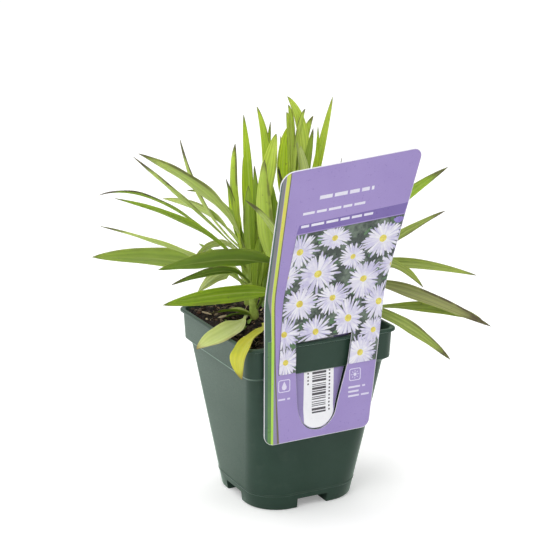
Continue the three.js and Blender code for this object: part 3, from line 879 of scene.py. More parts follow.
@dataclass
class Soil:
    """Peat and bark that fill the pot to just under the rim, with crumbs, chips, fibres and green bits."""

    bottom: float = 7.3
    level: float = 99.2
    lump: float = 1.4
    mound: float = 1.2
    spread: float = 26.0
    gap: float = 0.3
    rings_count: int = 46
    seed: int = 11
    bank: float = 2.3
    finish: SoilFinish = SoilFinish("soil_peat", tint(10, 6, 6), tint(38, 23, 19), tint(160, 130, 98))
    bark: SoilFinish = SoilFinish("soil_bark", tint(22, 12, 11), tint(88, 50, 37), tint(222, 202, 166), 180.0)
    scraps: StemFinish = StemFinish("green_scraps", tint(132, 160, 66), tint(92, 118, 46), tint(96, 90, 48))
    # Finish, count, least and greatest radius and fineness of each sort of crumb
    crumb_sorts: tuple[tuple, ...] = ((0, 950, 0.35, 0.95, 1), (0, 240, 0.9, 1.9, 2), (1, 240, 0.5, 1.5, 1))
    chip_count: int = 200
    fibre_count: int = 120
    # Place, heading and length of each green scrap
    scrap_places: tuple[tuple, ...] = (
        (-27, -2, 40, 13), (-31, 9, 75, 10), (-19, 7, 200, 8), (-24, -14, 10, 9),
        (20, -22, 120, 9), (28, 10, 300, 8), (2, 30, 30, 10), (-8, -27, 350, 7),
    )

    def inner(self, z: float) -> tuple[float, float]:
        """Half width and corner radius that the pot's inside leaves for the soil at a height.

        Args:
            z: The height.

        Returns:
            Half width and corner radius.
        """
        inset = WALL + self.gap
        if z <= LEDGE_BOTTOM:
            half, radius = wall_at(z)
            return half - inset, radius - inset
        share = (z - COLLAR_BOTTOM) / (POT_HEIGHT - COLLAR_BOTTOM)
        half = lerp(COLLAR_BOTTOM_HALF - inset, RIM_HALF - LIP - inset, share)
        return half, lerp(6.5, 6.2, share) - inset

    def banked(self, x: float, y: float) -> float:
        """How much higher the soil lies towards the back and the back half of the sides."""
        return self.bank * max(ease(y, 8.0, 36.0), ease(abs(x), 24.0, 42.0) * ease(y, -12.0, 8.0))

    def height(self, x: float, y: float) -> float:
        """Height of the surface: fixed waves, a mound round the plant, banks and fine crumbling.

        Args:
            x: Place to the right.
            y: Place to the back.

        Returns:
            The height.
        """
        waves = math.sin(x * 0.41 + 1.3) * math.cos(y * 0.37 - 0.6) + 0.6 * math.sin(x * 0.83 - y * 0.71)
        rise = self.mound * math.exp(-(x * x + y * y) / self.spread ** 2)
        crumbs = noise.fractal(Vector((x * 0.42, y * 0.42, 3.7)), 0.7, 2.1, 5)
        return self.level + rise + self.banked(x, y) + self.lump * (0.6 * waves + 0.75 * crumbs)

    def surface(self) -> Piece:
        """The packed soil as one closed body.

        Returns:
            The dressed soil bed.
        """
        edge = self.level - self.lump
        corner, side = 8, 26
        rows = []
        for z in (self.bottom, 40.0, LEDGE_BOTTOM - 0.3, COLLAR_BOTTOM + 0.8, edge):
            rows.append(square_ring(*self.inner(z), z, corner, side))
            for point in rows[-1]:
                if SLOT_LEFT < point.x < SLOT_RIGHT:
                    point.y = max(point.y, SLOT_INNER)
        rim = rows[-1]
        for point in rim:
            waves = self.lump * 0.4 * math.sin(point.x * 0.31 + point.y * 0.23)
            point.z += waves + self.banked(point.x, point.y)
        for k in range(1, self.rings_count):
            share = (1 - k / self.rings_count) ** 0.9
            rows.append([])
            for point in rim:
                x, y = point.x * share, point.y * share
                inward = ease(1 - share, 0.0, 0.07)
                rows[-1].append(Vector((x, y, lerp(point.z, self.height(x, y), inward))))
        body = Mesh()
        body.rings(rows)
        return dress(body.build("soil_bed", [self.finish.material()], 80.0), "soil", "soil")

    def crumb(self, draw: random.Random, radius: float, level: int) -> tuple[list[Vector], Faces]:
        """Points and faces of one irregular lump about the origin.

        Args:
            draw: Source of the random shape.
            radius: Its mean radius.
            level: How finely the ball that it starts from is cut.

        Returns:
            The points and the faces.
        """
        ball = bmesh.new()
        bmesh.ops.create_icosphere(ball, subdivisions=level, radius=1.0)
        shift = Vector((draw.uniform(0, 90), draw.uniform(0, 90), draw.uniform(0, 90)))
        squash = Vector((draw.uniform(0.7, 1.3), draw.uniform(0.7, 1.2), draw.uniform(0.45, 0.8)))
        points = []
        for vertex in ball.verts:
            out = 1 + 0.42 * noise.noise(vertex.co * 1.4 + shift)
            points.append(Vector(a * b for a, b in zip(vertex.co, squash)) * radius * out)
        faces = [tuple(vertex.index for vertex in face.verts) for face in ball.faces]
        ball.free()
        return points, faces

    def spot(self, draw: random.Random, margin: float) -> tuple[float, float]:
        """A point of the surface, clear of the pot's wall and of the label's tongue.

        Args:
            draw: Source of the random place.
            margin: How clear of them it lies.

        Returns:
            Its x and y.
        """
        half = self.inner(self.level)[0] - margin
        while True:
            x, y = draw.uniform(-half, half), draw.uniform(-half, half)
            beside = not SLOT_LEFT - margin < x < SLOT_RIGHT + margin
            if y > SLOT_INNER + margin + 0.4 or beside:
                if math.hypot(max(abs(x) - half + 3.5, 0), max(abs(y) - half + 3.5, 0)) < 3.5:
                    return x, y

    def tumbled(self, draw: random.Random, tilt: float, axis: str) -> Matrix:
        """Turn by a random heading, after a random tilt, up to a limit, about one axis."""
        heading = Matrix.Rotation(any_angle(draw), 3, "Z")
        return heading @ Matrix.Rotation(draw.uniform(-tilt, tilt), 3, axis)

    def loose(self) -> Piece:
        """Crumbs of peat and bits of bark that lie on the soil.

        Returns:
            The dressed crumbs and chips.
        """
        draw = random.Random(self.seed)
        body = Mesh()
        for kind, count, low, high, level in self.crumb_sorts:
            for _ in range(count):
                radius = draw.uniform(low, high) if draw.random() < 0.7 else low
                x, y = self.spot(draw, radius * 1.4)
                points, faces = self.crumb(draw, radius, level)
                turn = self.tumbled(draw, 0.6, "X")
                place = Vector((x, y, self.height(x, y) + radius * 0.12))
                light = draw.uniform(0.5, 1.0) if draw.random() < 0.05 else 0.12 * draw.random()
                body.add([turn @ point + place for point in points], faces, kind, tone=light)
        for _ in range(self.chip_count):
            x, y = self.spot(draw, 4.0)
            length, width, thick = draw.uniform(2, 7), draw.uniform(0.9, 2.4), draw.uniform(0.5, 1.2)
            turn = self.tumbled(draw, 0.35, "Y")
            rows = []
            for k in range(5):
                along = (k / 4 - 0.5) * length
                taper = 0.55 + 0.45 * math.sin(math.pi * (0.12 + 0.76 * k / 4)) + draw.uniform(-0.12, 0.12)
                ring = ((0.5, 0.1), (0.34, 0.5), (-0.3, 0.46), (-0.5, -0.1), (-0.28, -0.5), (0.36, -0.42))
                rows.append([Vector((along, a * width * taper, b * thick * taper)) for a, b in ring])
            place = Vector((x, y, self.height(x, y) + 0.35 * thick))
            light = draw.uniform(0.4, 1.0) if draw.random() < 0.12 else 0.2 * draw.random()
            body.rings([[turn @ point + place for point in row] for row in rows], 1, tone=light)
        finishes = [self.finish.material(), self.bark.material()]
        return dress(body.build("soil_crumbs", finishes, 55.0), "soil")

    def fibres(self) -> Piece:
        """Thin peat fibres and rootlets on the soil, and a few green scraps of leaf.

        Returns:
            The dressed fibres and scraps.
        """
        draw = random.Random(self.seed + 1)
        body = Mesh()
        for _ in range(self.fibre_count):
            x, y = self.spot(draw, 4.0)
            heading, bend = any_angle(draw), draw.uniform(-0.35, 0.35)
            radius, step = draw.uniform(0.09, 0.2), draw.uniform(0.6, 1.3)
            rows = []
            half = self.inner(self.level)[0] - 0.6
            for k in range(9):
                x = min(max(x + step * math.cos(heading), -half), half)
                y = min(max(y + step * math.sin(heading), SLOT_INNER + 0.6), half)
                heading += bend + draw.uniform(-0.25, 0.25)
                z = self.height(x, y) + 0.35 + 0.35 * math.sin(k * 0.9 + bend * 9)
                across = Vector((-math.sin(heading), math.cos(heading), 0)) * radius
                up = Vector((0, 0, radius))
                middle = Vector((x, y, z))
                rows.append([middle + across, middle + up, middle - across, middle - up])
            body.rings(rows, 0, tone=draw.uniform(0.1, 0.7))
        for x, y, heading, length in self.scrap_places:
            rows, count = [], 9
            for k in range(count):
                share = k / (count - 1)
                angle = math.radians(heading + 30 * share)
                reach = length * (share - 0.5)
                middle = Vector((x + reach * math.cos(angle), y + reach * math.sin(angle), 0))
                middle.z = self.height(middle.x, middle.y) + 0.9 + 0.8 * math.sin(math.pi * share)
                half = 0.25 + 1.05 * math.sin(math.pi * share) ** 0.8
                across = Vector((-math.sin(angle), math.cos(angle), 0.25)) * half
                up = Vector((0, 0, 0.13))
                rows.append([middle + across, middle + up, middle - across, middle - up])
            body.rings(rows, 1, run=1.0)
        finishes = [self.bark.material(), self.scraps.material()]
        return dress(body.build("soil_fibres", finishes, 50.0), "soil")

    def build(self) -> None:
        """Builds the bed, the loose crumbs and the fibres."""
        self.surface()
        self.loose()
        self.fibres()


class LeafTone(Enum):
    """Main colour of a leaf, as its mid, deep, olive and pale shares."""

    BRIGHT = (0.0, 0.0, 0.0, 0.0)
    FRESH = (0.3, 0.0, 0.0, 0.0)
    LIGHT = (0.1, 0.0, 0.0, 0.3)
    MID = (0.6, 0.4, 0.0, 0.0)
    DULL = (0.7, 0.52, 0.15, 0.05)
    DEEP = (0.6, 0.85, 0.0, 0.0)
    OLIVE = (0.5, 0.25, 0.45, 0.0)
    DUSKY = (0.5, 0.3, 0.8, 0.0)
    PALE = (0.1, 0.0, 0.0, 0.72)
    # Faded old leaves, lightened further by painted light where they sit in shade
    FADED = (0.2, 0.0, 0.0, 0.85)


@dataclass
class Leaf:
    """One leaf: its curve's handles, direction, width and turn, its colour and how far its tip is burnt."""

    handles: list[Vector]
    azimuth: float
    width: float
    turn: float
    tone: LeafTone = LeafTone.FRESH
    tip: float = 0.1
    seed: int = 0
    stalk_width: float = 2.6
    fold: float = 24.0
    steps: int = 34
    across: int = 5

    def at(self, share: float) -> tuple[Vector, Vector]:
        """Point and direction of the leaf's curve at a share of its length.

        Args:
            share: The share.

        Returns:
            The point and the direction.
        """
        points = [point.copy() for point in self.handles]
        while len(points) > 2:
            points = [a.lerp(b, share) for a, b in zip(points, points[1:])]
        return points[0].lerp(points[1], share), (points[1] - points[0]).normalized()

    def half_width(self, share: float) -> float:
        """Half the leaf's width: a narrow stalk, the widest part past the middle, and a long point.

        Args:
            share: Share of the leaf's length.

        Returns:
            Half the width.
        """
        along = min(max((share - 0.08) / 0.92, 0.0), 1.0)
        blade = max(math.sin(math.pi * along ** 1.25), 0.0) ** 0.78
        stalk = self.stalk_width * (1 - share) ** 2
        return max(lerp(0.25, self.width, blade), stalk) / 2

    def add_to(self, body: Mesh, finish: int = 0) -> None:
        """Adds the leaf's closed skin to a mesh, with the values that its material reads.

        Args:
            body: The mesh.
            finish: Number of the leaf's material on the object.
        """
        draw = random.Random(self.seed)
        drift, phase, waves = draw.uniform(-0.7, 0.7), any_angle(draw), draw.uniform(2.2, 4.0)
        ripple = draw.uniform(0.03, 0.1)
        azimuth = math.radians(self.azimuth)
        level = Vector((-math.sin(azimuth), math.cos(azimuth), 0.0))
        rows, run, across, under = [], [], [], []
        for k in range(self.steps + 1):
            share = k / self.steps
            centre, way = self.at(share)
            side = Quaternion(way, math.radians(self.turn * ease(share, 0.1, 0.6))) @ level
            face = way.cross(side).normalized()
            centre = centre + side * (drift * math.sin(math.pi * share * 1.4 + phase) * ease(share, 0.0, 0.4))
            half = self.half_width(share)
            lean = math.radians(self.fold) * (1 - 0.5 * share)
            spread = half * math.cos(lean)
            raised = half * math.sin(math.radians(self.fold)) * (1 - 0.5 * share)
            middle = lerp(1.15, 0.5, min(share * 4, 1.0)) * lerp(1.0, 0.4, ease(share, 0.75, 1.0))
            top, low = [], []
            for j in range(-self.across, self.across + 1):
                part = j / self.across
                away = abs(part)
                wave = math.sin(6.28 * share * waves + phase + 2 * part)
                lift = raised * away ** 1.35 + half * ripple * away ** 2 * wave
                thick = lerp(middle, 0.13, away ** 0.8) / 2
                groove = 0.22 * math.exp(-(away / 0.13) ** 2) * min(half / 2, 1.0)
                point = centre + side * (spread * part)
                top.append(point + face * (lift + thick - groove))
                low.append(point + face * (lift - thick - groove))
                across.append(part)
            rows.append(top + low[::-1])
            across += across[-len(top):][::-1]
            run += [share] * (2 * len(top))
            under += [0.0] * len(top) + [1.0] * len(low)
        mid, deep, olive, pale = self.tone.value
        tone = mid + 0.25 * draw.random()
        edge = draw.choice((1.0, 1.0, -1.0)) * draw.uniform(0.75, 1.25)
        body.rings(
            rows, finish, run=run, across=across, under=under, width=self.width, tone=tone,
            tip=0.38 * self.tip, deep=deep, olive=olive, pale=pale, edge=edge,
        )


def outward(foot: Point, azimuth: float, reach: float, z: float) -> Vector:
    """Point that lies so far out from a foot, in a direction seen from above, and so high."""
    return around(foot, reach, math.radians(azimuth), z)


BRIGHT, FRESH, LIGHT, MID, DULL, DEEP, OLIVE, DUSKY, PALE, FADED = LeafTone


@dataclass
class Shoot:
    """One leafy shoot.

    A row of a leaf is its height on the stem, direction, reach, rise, start slope, width, turn, bend place,
    tone and burnt tip.
    """

    name: str
    foot: Point
    top: Place
    rows: list[tuple]
    seed: int
    stem_radius: float = 2.2
    stem_foot: float = 88.0
    stem_cuts: int = 40
    stem_sides: int = 14
    hair_low: float = 101.5
    hair_count: int = 130

    def stem_point(self, z: float) -> Vector:
        """Middle of the stem at a height."""
        share = max((z - POT_HEIGHT) / (self.top[2] - POT_HEIGHT), 0.0)
        return Vector((lerp(self.foot[0], self.top[0], share), lerp(self.foot[1], self.top[1], share), z))

    def leaf(self, number: int, row: tuple) -> Leaf:
        """The leaf that a row describes.

        Args:
            number: The row's number, for the leaf's own seed.
            row: The row.

        Returns:
            The leaf.
        """
        height, azimuth, reach, rise, slope, width, turn, elbow, tone, tip = row
        start = self.stem_point(height)
        chord, angle = math.hypot(reach, rise) * elbow, math.radians(slope)
        foot = (start.x, start.y)
        middle = outward(foot, azimuth, chord * math.cos(angle), height + chord * math.sin(angle))
        end = outward(foot, azimuth, reach, height + rise)
        return Leaf([start, middle, end], azimuth, width, turn, tone, tip, self.seed * 100 + number)

    def stem(self, body: Mesh) -> None:
        """Adds the stem with its leaf joints, its bud and its fine hairs.

        Args:
            body: The mesh.
        """
        draw = random.Random(self.seed)
        top, sides = self.top[2], self.stem_sides
        joints = sorted(row[0] for row in self.rows)
        rows, run = [], []
        heights = [lerp(self.stem_foot, top, k / self.stem_cuts) for k in range(self.stem_cuts + 1)]
        for z in heights + [top + 1.5, top + 3.0, top + 4.0]:
            swell = sum(math.exp(-((z - joint + 1.0) / 1.1) ** 2) for joint in joints)
            share = max((z - POT_HEIGHT) / (top - POT_HEIGHT), 0.0)
            radius = self.stem_radius * lerp(1.0, 0.5, min(share, 1.0)) + 0.22 * min(swell, 1.5)
            radius *= max(1 - max(z - top, 0.0) / 4.2, 0.1)
            middle = self.stem_point(min(z, top))
            middle.z = z
            ring = []
            for k in range(sides):
                angle = k / sides * 2 * math.pi
                rib = radius * (1 + 0.05 * math.cos(5 * angle + self.seed))
                ring.append(middle + around((0, 0), rib, angle))
            rows.append(ring)
            run += [(z - self.stem_foot) / (top - self.stem_foot)] * sides
        body.rings(rows, 1, run=run)
        for _ in range(self.hair_count):
            z = draw.uniform(self.hair_low, top - 2)
            angle, length = any_angle(draw), draw.uniform(0.7, 1.5)
            share = max((z - POT_HEIGHT) / (top - POT_HEIGHT), 0.0)
            out = Vector((math.cos(angle), math.sin(angle), draw.uniform(-0.2, 0.6)))
            root = self.stem_point(z) + Vector((out.x, out.y, 0)) * self.stem_radius * lerp(0.95, 0.45, share)
            side = Vector((-out.y, out.x, 0)) * 0.07
            base = [root + side, root - side, root + Vector((0, 0, 0.12))]
            body.add([*base, root + out * length], [(0, 2, 1), (0, 1, 3), (1, 2, 3), (2, 0, 3)], 1, run=0.8)

    def build(self, materials: list[Material]) -> Piece:
        """Builds the shoot with its leaves and stem.

        Args:
            materials: The leaf's and the stem's material.

        Returns:
            The dressed shoot.
        """
        body = Mesh()
        for number, row in enumerate(self.rows):
            self.leaf(number, row).add_to(body)
        self.stem(body)
        return dress(body.build(f"{self.name}_leaves", materials, 70.0), "leaf", self.name)


SHOOTS = [
    Shoot("shoot_left", (-14, 12), (-17, 16, 143), [
        (119, 204, 66, 16, 60, 5.8, 72, 0.32, DEEP, 0.25),
        (117, 186, 94, 50, 42, 5.5, 30, 0.35, PALE, 0.3),
        (119, 145, 92, 14, 35, 14, 70, 0.35, DULL, 0.06),
        (128, 160, 83, 46, 48, 6, 25, 0.8, MID, 0.4),
        (124, 175, 78, 53, 60, 6.8, 36, 0.4, MID, 0.15),
        (114, 330, 14, 93, 84, 10, 65, 0.7, LIGHT, 0.1),
        (121, 150, 8, 80, 73, 7, 50, 0.6, BRIGHT, 0.25),
        (131, 150, 61, 64, 82, 10, 55, 0.45, PALE, 0.25),
        (135, 168, 64, 62, 46, 5.4, 32, 0.5, PALE, 0.4),
        (133, 122, 58, 30, 65, 8, 60, 0.5, PALE, 0.05),
        (138, 128, 42, 62, 30, 5.4, 60, 0.5, PALE, 0.4),
        (140, 110, 48, 27, 75, 5.5, 40, 0.6, MID, 0.2),
        (122, 120, 4, 95, 92, 5.2, -55, 0.5, FRESH, 0.14),
        (126, 80, 10, 66, 80, 6, 0, 0.5, BRIGHT, 0.1),
        (136, 150, 12, 45, 75, 5, 40, 0.5, MID, 0.3),
        (118, 240, 12, 62, 75, 7, 0, 0.5, MID, 0.1),
        (110, 300, 10, 64, 80, 8, -60, 0.5, FRESH, 0.1),
        (110, 310, 1, 79, 84, 4.5, -60, 0.5, MID, 0.2),
        (107, 270, 9, 44, 75, 6.5, 0, 0.5, MID, 0.1),
        (104.5, 322, 7, 58, 72, 6.5, -75, 0.6, MID, 0.08),
        (106, 340, 10, 74, 70, 6, -90, 0.6, MID, 0.08),
        (104, 300, 8, 50, 75, 6, -60, 0.6, MID, 0.06),
        (105, 335, 6, 62, 70, 6, 88, 0.5, FRESH, 0.08),
        (103, 328, 13, 44, 62, 8, -80, 0.6, MID, 0.1),
        (103.5, 318, 11, 30, 52, 8, -75, 0.6, DEEP, 0.1),
        (101.5, 161, 25, 2.6, 30, 5, 25, 0.5, MID, 0.5),
        (101.2, 178, 21, 1.2, 30, 4, 15, 0.5, DEEP, 0.4),
        (101.6, 148, 15, 3.5, 40, 4, 0, 0.5, OLIVE, 0.3),
    ], 1),
    Shoot("shoot_front", (0, -12), (2, -14, 134), [
        (107, 160, 18, 89, 58, 10.5, 60, 0.5, LIGHT, 0.16),
        (112, 290, 16, 70, 75, 8, 0, 0.5, FRESH, 0.1),
        (116.4, 179, 81, 7.4, 22.5, 10.1, -90, 0.4, MID, 0.1),
        (120, 20, 20, 66, 72, 7, 0, 0.5, MID, 0.1),
        (118, 185, 34, 59, 78, 5, 30, 0.6, PALE, 0.5),
        (110, 172, 10, 56, 76, 8, 50, 0.5, FRESH, 0.1),
        (131, 184, 88, 15, 35, 13, 66, 0.35, DEEP, 0.04),
        (128, 240, 10, 62, 80, 7, 0, 0.5, MID, 0.1),
    ], 2),
    Shoot("shoot_centre", (6, 8), (5, 9, 158), [
        (116, 140, 1, 102, 92, 4.5, -60, 0.9, LIGHT, 0.14),
        (116, 170, 6, 72, 90, 4, -90, 0.5, MID, 0.35),
        (118, 160, -1, 92, 84, 7.5, -80, 0.8, BRIGHT, 0.06),
        (119, 40, 24, 80, 70, 7, 0, 0.5, MID, 0.1),
        (120, 350, 17, 89, 65, 3.5, 70, 0.5, FRESH, 0.1),
        (120, 320, 10, 100, 88, 3.5, -60, 0.9, LIGHT, 0.25),
        (122, 170, 0, 100, 93, 4, -80, 0.9, LIGHT, 0.15),
        (125, 330, 14, 84, 80, 6, -75, 0.5, MID, 0.16),
        (129, 150, 0, 98, 103, 6.8, -70, 0.8, LIGHT, 0.08),
        (130, 345, 15, 85, 87, 5.5, 60, 0.8, LIGHT, 0.28),
        (138, 318, 5, 66, 56, 7, -70, 0.5, PALE, 0.04),
    ], 3),
    Shoot("shoot_right", (25, -8), (27, -9, 134), [
        (104.5, 336.4, 87, -7.4, 6, 7, 60, 0.7, OLIVE, 0.12),
        (108, 312, 70, -24, 10, 8.5, 30, 0.45, OLIVE, 0.25),
        (121, 333.4, 90, -25.4, 12, 9.5, 40, 0.3, DUSKY, 0.35),
        (114, 330, 62, 50, 55, 6.5, 35, 0.4, OLIVE, 0.25),
        (117, 345, 85, 4, 60, 7.2, 45, 0.33, OLIVE, 0.12),
        (120, 318, 51, 2, 48, 6.6, 30, 0.8, OLIVE, 0.16),
        (119, 346, 66, 66, 70, 8.5, 38, 0.4, MID, 0.25),
        (120, 330, 4, 74, 95, 7, 0, 0.5, MID, 0.3),
    ], 4),
    Shoot("shoot_back_right", (18, 24), (21, 28, 140), [
        (106, 20, 74, 18, 40, 8, 20, 0.5, MID, 0.1),
        (109, 60, 48, 30, 50, 7.5, 0, 0.5, DEEP, 0.1),
        (112, 352, 66, 40, 55, 7, 0, 0.5, MID, 0.15),
        (114, 90, 38, 52, 65, 7, 0, 0.5, MID, 0.1),
        (117, 330, 21, 106, 80, 5.2, 80, 0.5, LIGHT, 0.1),
        (122, 40, 52, 46, 62, 6, 0, 0.5, MID, 0.2),
        (128, 78, 32, 66, 75, 6.5, 0, 0.5, FRESH, 0.1),
        (134, 70, 26, 60, 70, 6, 0, 0.5, MID, 0.15),
    ], 5),
    Shoot("shoot_back_left", (-8, 32), (-11, 34, 138), [
        # Two leaves of this shoot carry painted light that lifts them out of the shade of the others
        (112, 170, 29, 0, 75, 10, 78, 0.8, FADED, 0.03),
        (112, 60, 38, 24, 45, 7.5, 0, 0.5, DEEP, 0.1),
        (110, 120, 34, 24, 50, 7, 0, 0.5, MID, 0.1),
        (112, 320, 7, 107, 74, 5.5, -70, 0.7, BRIGHT, 0.15),
        (112, 350, 15, 97, 77, 5, 70, 0.4, FRESH, 0.2),
        (130, 165, 28, 3, 55, 8, 50, 0.7, FADED, 0.05),
        (126, 85, 26, 42, 65, 6, 0, 0.5, FRESH, 0.1),
        (130, 80, 28, 30, 62, 6, 0, 0.5, MID, 0.2),
    ], 6),
]


@dataclass
class OldLeaf:
    """An old leaf that lies over the rim, on a thin stalk that stands in the soil."""

    name: str
    azimuth: float
    width: float
    turn: float
    handles: tuple[Place, ...]
    finish: LeafFinish
    tip: float
    seed: int
    stalk_foot: float = 90.0
    stalk_sides: int = 10

    def build(self) -> Piece:
        """Builds the leaf and its stalk.

        Returns:
            The dressed leaf.
        """
        body = Mesh()
        handles = [Vector(handle) for handle in self.handles]
        Leaf(handles, self.azimuth, self.width, self.turn, LeafTone.FRESH, self.tip, self.seed).add_to(body)
        rows = []
        foot = Vector((handles[0].x, handles[0].y, 0.0))
        top = handles[0].z
        angles = [k / self.stalk_sides * 2 * math.pi for k in range(self.stalk_sides)]
        stalk = ((self.stalk_foot, 0.9), (top - 1.5, 0.85), (top, 0.95), (top + 0.5, 0.7), (top + 0.7, 0.3))
        for z, radius in stalk:
            rows.append([foot + around((0, 0), radius, angle, z) for angle in angles])
        body.rings(rows, 0, run=0.1, across=0.6, width=self.width)
        return dress(body.build(f"{self.name}_blade", [self.finish.material()], 70.0), self.name, self.name)


PALE_BLADE = LeafFinish(
    "leaf_pale", fresh=tint(214, 220, 156), mid=tint(190, 202, 128), deep=tint(158, 176, 90),
    olive=tint(176, 150, 96), pale=tint(216, 220, 160), rib=tint(220, 226, 168), dark=tint(132, 84, 76),
    back=tint(200, 208, 148), spots=0.5,
)
YELLOW_BLADE = LeafFinish(
    "leaf_yellow", fresh=tint(204, 194, 52), mid=tint(166, 172, 62), deep=tint(150, 158, 60),
    olive=tint(170, 140, 70), pale=tint(204, 200, 96), rib=tint(214, 210, 116), dark=tint(122, 92, 48),
    back=tint(186, 182, 80), spots=0.4,
)
OLD_LEAVES = [
    OldLeaf("pale_leaf", 218.5, 13, -21, (
        (-17.8, 14.2, 102), (-30, -5, 102.6), (-50, -25, 107.4), (-66, -24, 100.2),
    ), PALE_BLADE, 0.15, 71),
    OldLeaf("yellow_leaf", 233.7, 12.8, 26, (
        (-16.5, -5, 102), (-22.5, -22, 102.6), (-59, -49, 110.7), (-55, -57.5, 91.7),
    ), YELLOW_BLADE, 0.15, 72),
]


@dataclass
class Card:
    """The label's bent card as a surface measured across the card and along it from its lower edge."""

    front: float = -47.75
    low: float = 46.5
    lean_low: float = 1.2
    lean_top: float = 16.0
    bend_start: float = 76.0
    bend_end: float = 88.0
    thick: float = 0.6

    def point(self, across: float, along: float, depth: float) -> Vector:
        """Point of the card at a depth behind its front.

        Args:
            across: Place across the card.
            along: Place up from its lower edge.
            depth: Distance behind its front.

        Returns:
            The point.
        """
        first, last = math.radians(self.lean_low), math.radians(self.lean_top)
        length = self.bend_end - self.bend_start
        radius = length / (last - first)
        share = min(max((along - self.bend_start) / length, 0.0), 1.0)
        lean = lerp(first, last, share)
        straight, beyond = min(along, self.bend_start), max(along - self.bend_end, 0.0)
        y = self.front + (POT_HEIGHT - self.low) * math.sin(first) - straight * math.sin(first)
        y -= radius * (math.cos(first) - math.cos(lean)) + beyond * math.sin(last)
        z = self.low + straight * math.cos(first) + radius * (math.sin(lean) - math.sin(first))
        z += beyond * math.cos(last)
        return Vector((across + LABEL_SIDE, y + depth * math.cos(lean), z + depth * math.sin(lean)))

    def rows(self) -> list[float]:
        """Distances along the card at which every mesh on it is cut, so that all bend alike."""
        return [self.bend_start + k * 1.5 for k in range(9)]


@dataclass
class Tongue:
    """The label's tongue: over the rim, down inside the collar, through the ledge and out at the front."""

    route: tuple[Point, ...] = (
        (-47.42, 107.6), (-47.4, 106.1), (-46.8, 105.1), (-45.4, 104.0), (-43.9, 102.8),
        (-43.5, 99), (-43.4, 92), (-43.2, 85.5), (-43.4, 80), (-43.9, 73), (-44.7, 65),
        (-45.6, 58), (-46.3, 52.4),
    )
    root: float = 59.8
    tip: float = 5.65
    shift: float = 1.2
    thick: float = 0.6
    samples: list[tuple[float, Vector, Vector]] = field(default_factory=list)

    def __post_init__(self) -> None:
        """Samples a smooth line through the route, with its length so far and its way."""
        points = [Vector((0.0, y, z)) for y, z in self.route]
        line = [points[0]]
        for k in range(len(points) - 1):
            before, after = points[max(k - 1, 0)], points[min(k + 2, len(points) - 1)]
            for step in range(1, 7):
                line.append(catmull(before, points[k], points[k + 1], after, step / 6))
        length = 0.0
        for k, point in enumerate(line):
            length += (point - line[k - 1]).length if k else 0.0
            way = line[min(k + 1, len(line) - 1)] - line[max(k - 1, 0)]
            self.samples.append((length, point, way.normalized()))

    def point(self, across: float, along: float, depth: float) -> Vector:
        """Point of the tongue at a depth behind its front, by the same measures as the card.

        Args:
            across: Place across the tongue.
            along: Place along the card.
            depth: Distance behind its front.

        Returns:
            The point.
        """
        total = self.samples[-1][0]
        share = min(max((self.root - along) / (self.root - self.tip), 0.0), 1.0)
        distance = share * total
        k = 1
        while k < len(self.samples) - 1 and self.samples[k][0] < distance:
            k += 1
        (low, start, way), (high, end, _) = self.samples[k - 1], self.samples[k]
        centre = start.lerp(end, (distance - low) / max(high - low, 1e-6))
        out = Vector((0.0, way.z, -way.y))
        drift = self.shift * max(math.sin(1.25 * math.pi * share), 0.0)
        return centre + out * (self.thick / 2 - depth) + Vector((across + drift + LABEL_SIDE, 0.0, 0.0))

    def rows(self) -> list[float]:
        """Distances at which every mesh on the tongue is cut."""
        total = self.samples[-1][0]
        return [lerp(self.root, self.tip, length / total) for length, _, _ in self.samples[1:-1]]


def catmull(a: Vector, b: Vector, c: Vector, d: Vector, share: float) -> Vector:
    """Point between b and c on a smooth line through four points.

    Args:
        a: The first point.
        b: The second.
        c: The third.
        d: The last.
        share: How far from b to c it lies, 0 to 1.

    Returns:
        The point.
    """
    bend = (2 * a - 5 * b + 4 * c - d) * (share * share)
    twist = (3 * b - a - 3 * c + d) * share ** 3
    return 0.5 * (2 * b + (c - a) * share + bend + twist)


def rounded(corners: list[Place], steps: int = 8) -> Outline:
    """Outline with rounded corners.

    Args:
        corners: Across, along and radius of each corner.
        steps: Points on each rounded corner, less one.

    Returns:
        The outline's points in the same order.
    """
    outline: Outline = []
    count = len(corners)
    for k, (x, y, radius) in enumerate(corners):
        here = Vector((x, y))
        back = (Vector(corners[k - 1][:2]) - here).normalized()
        forth = (Vector(corners[(k + 1) % count][:2]) - here).normalized()
        half = math.acos(max(-1.0, min(1.0, back.dot(forth)))) / 2
        cut = radius / math.tan(half)
        middle = here + (back + forth).normalized() * (radius / math.sin(half))
        start, end = here + back * cut - middle, here + forth * cut - middle
        turn = start.angle_signed(end) if radius > 0 else 0.0
        for step in range(steps + 1):
            spoke = start.copy()
            spoke.rotate(Matrix.Rotation(-turn * step / steps, 2))
            outline.append(tuple(middle + spoke))
    return outline


def rounded_square(middle: Point, half: float, radius: float) -> Outline:
    """Outline of a square with rounded corners, by half its width."""
    sides = ((-1, -1), (1, -1), (1, 1), (-1, 1))
    return rounded([(middle[0] + a * half, middle[1] + b * half, radius) for a, b in sides])


def block(left: float, low: float, right: float, high: float) -> Outline:
    """Outline of a rectangle."""
    return [(left, low), (right, low), (right, high), (left, high)]


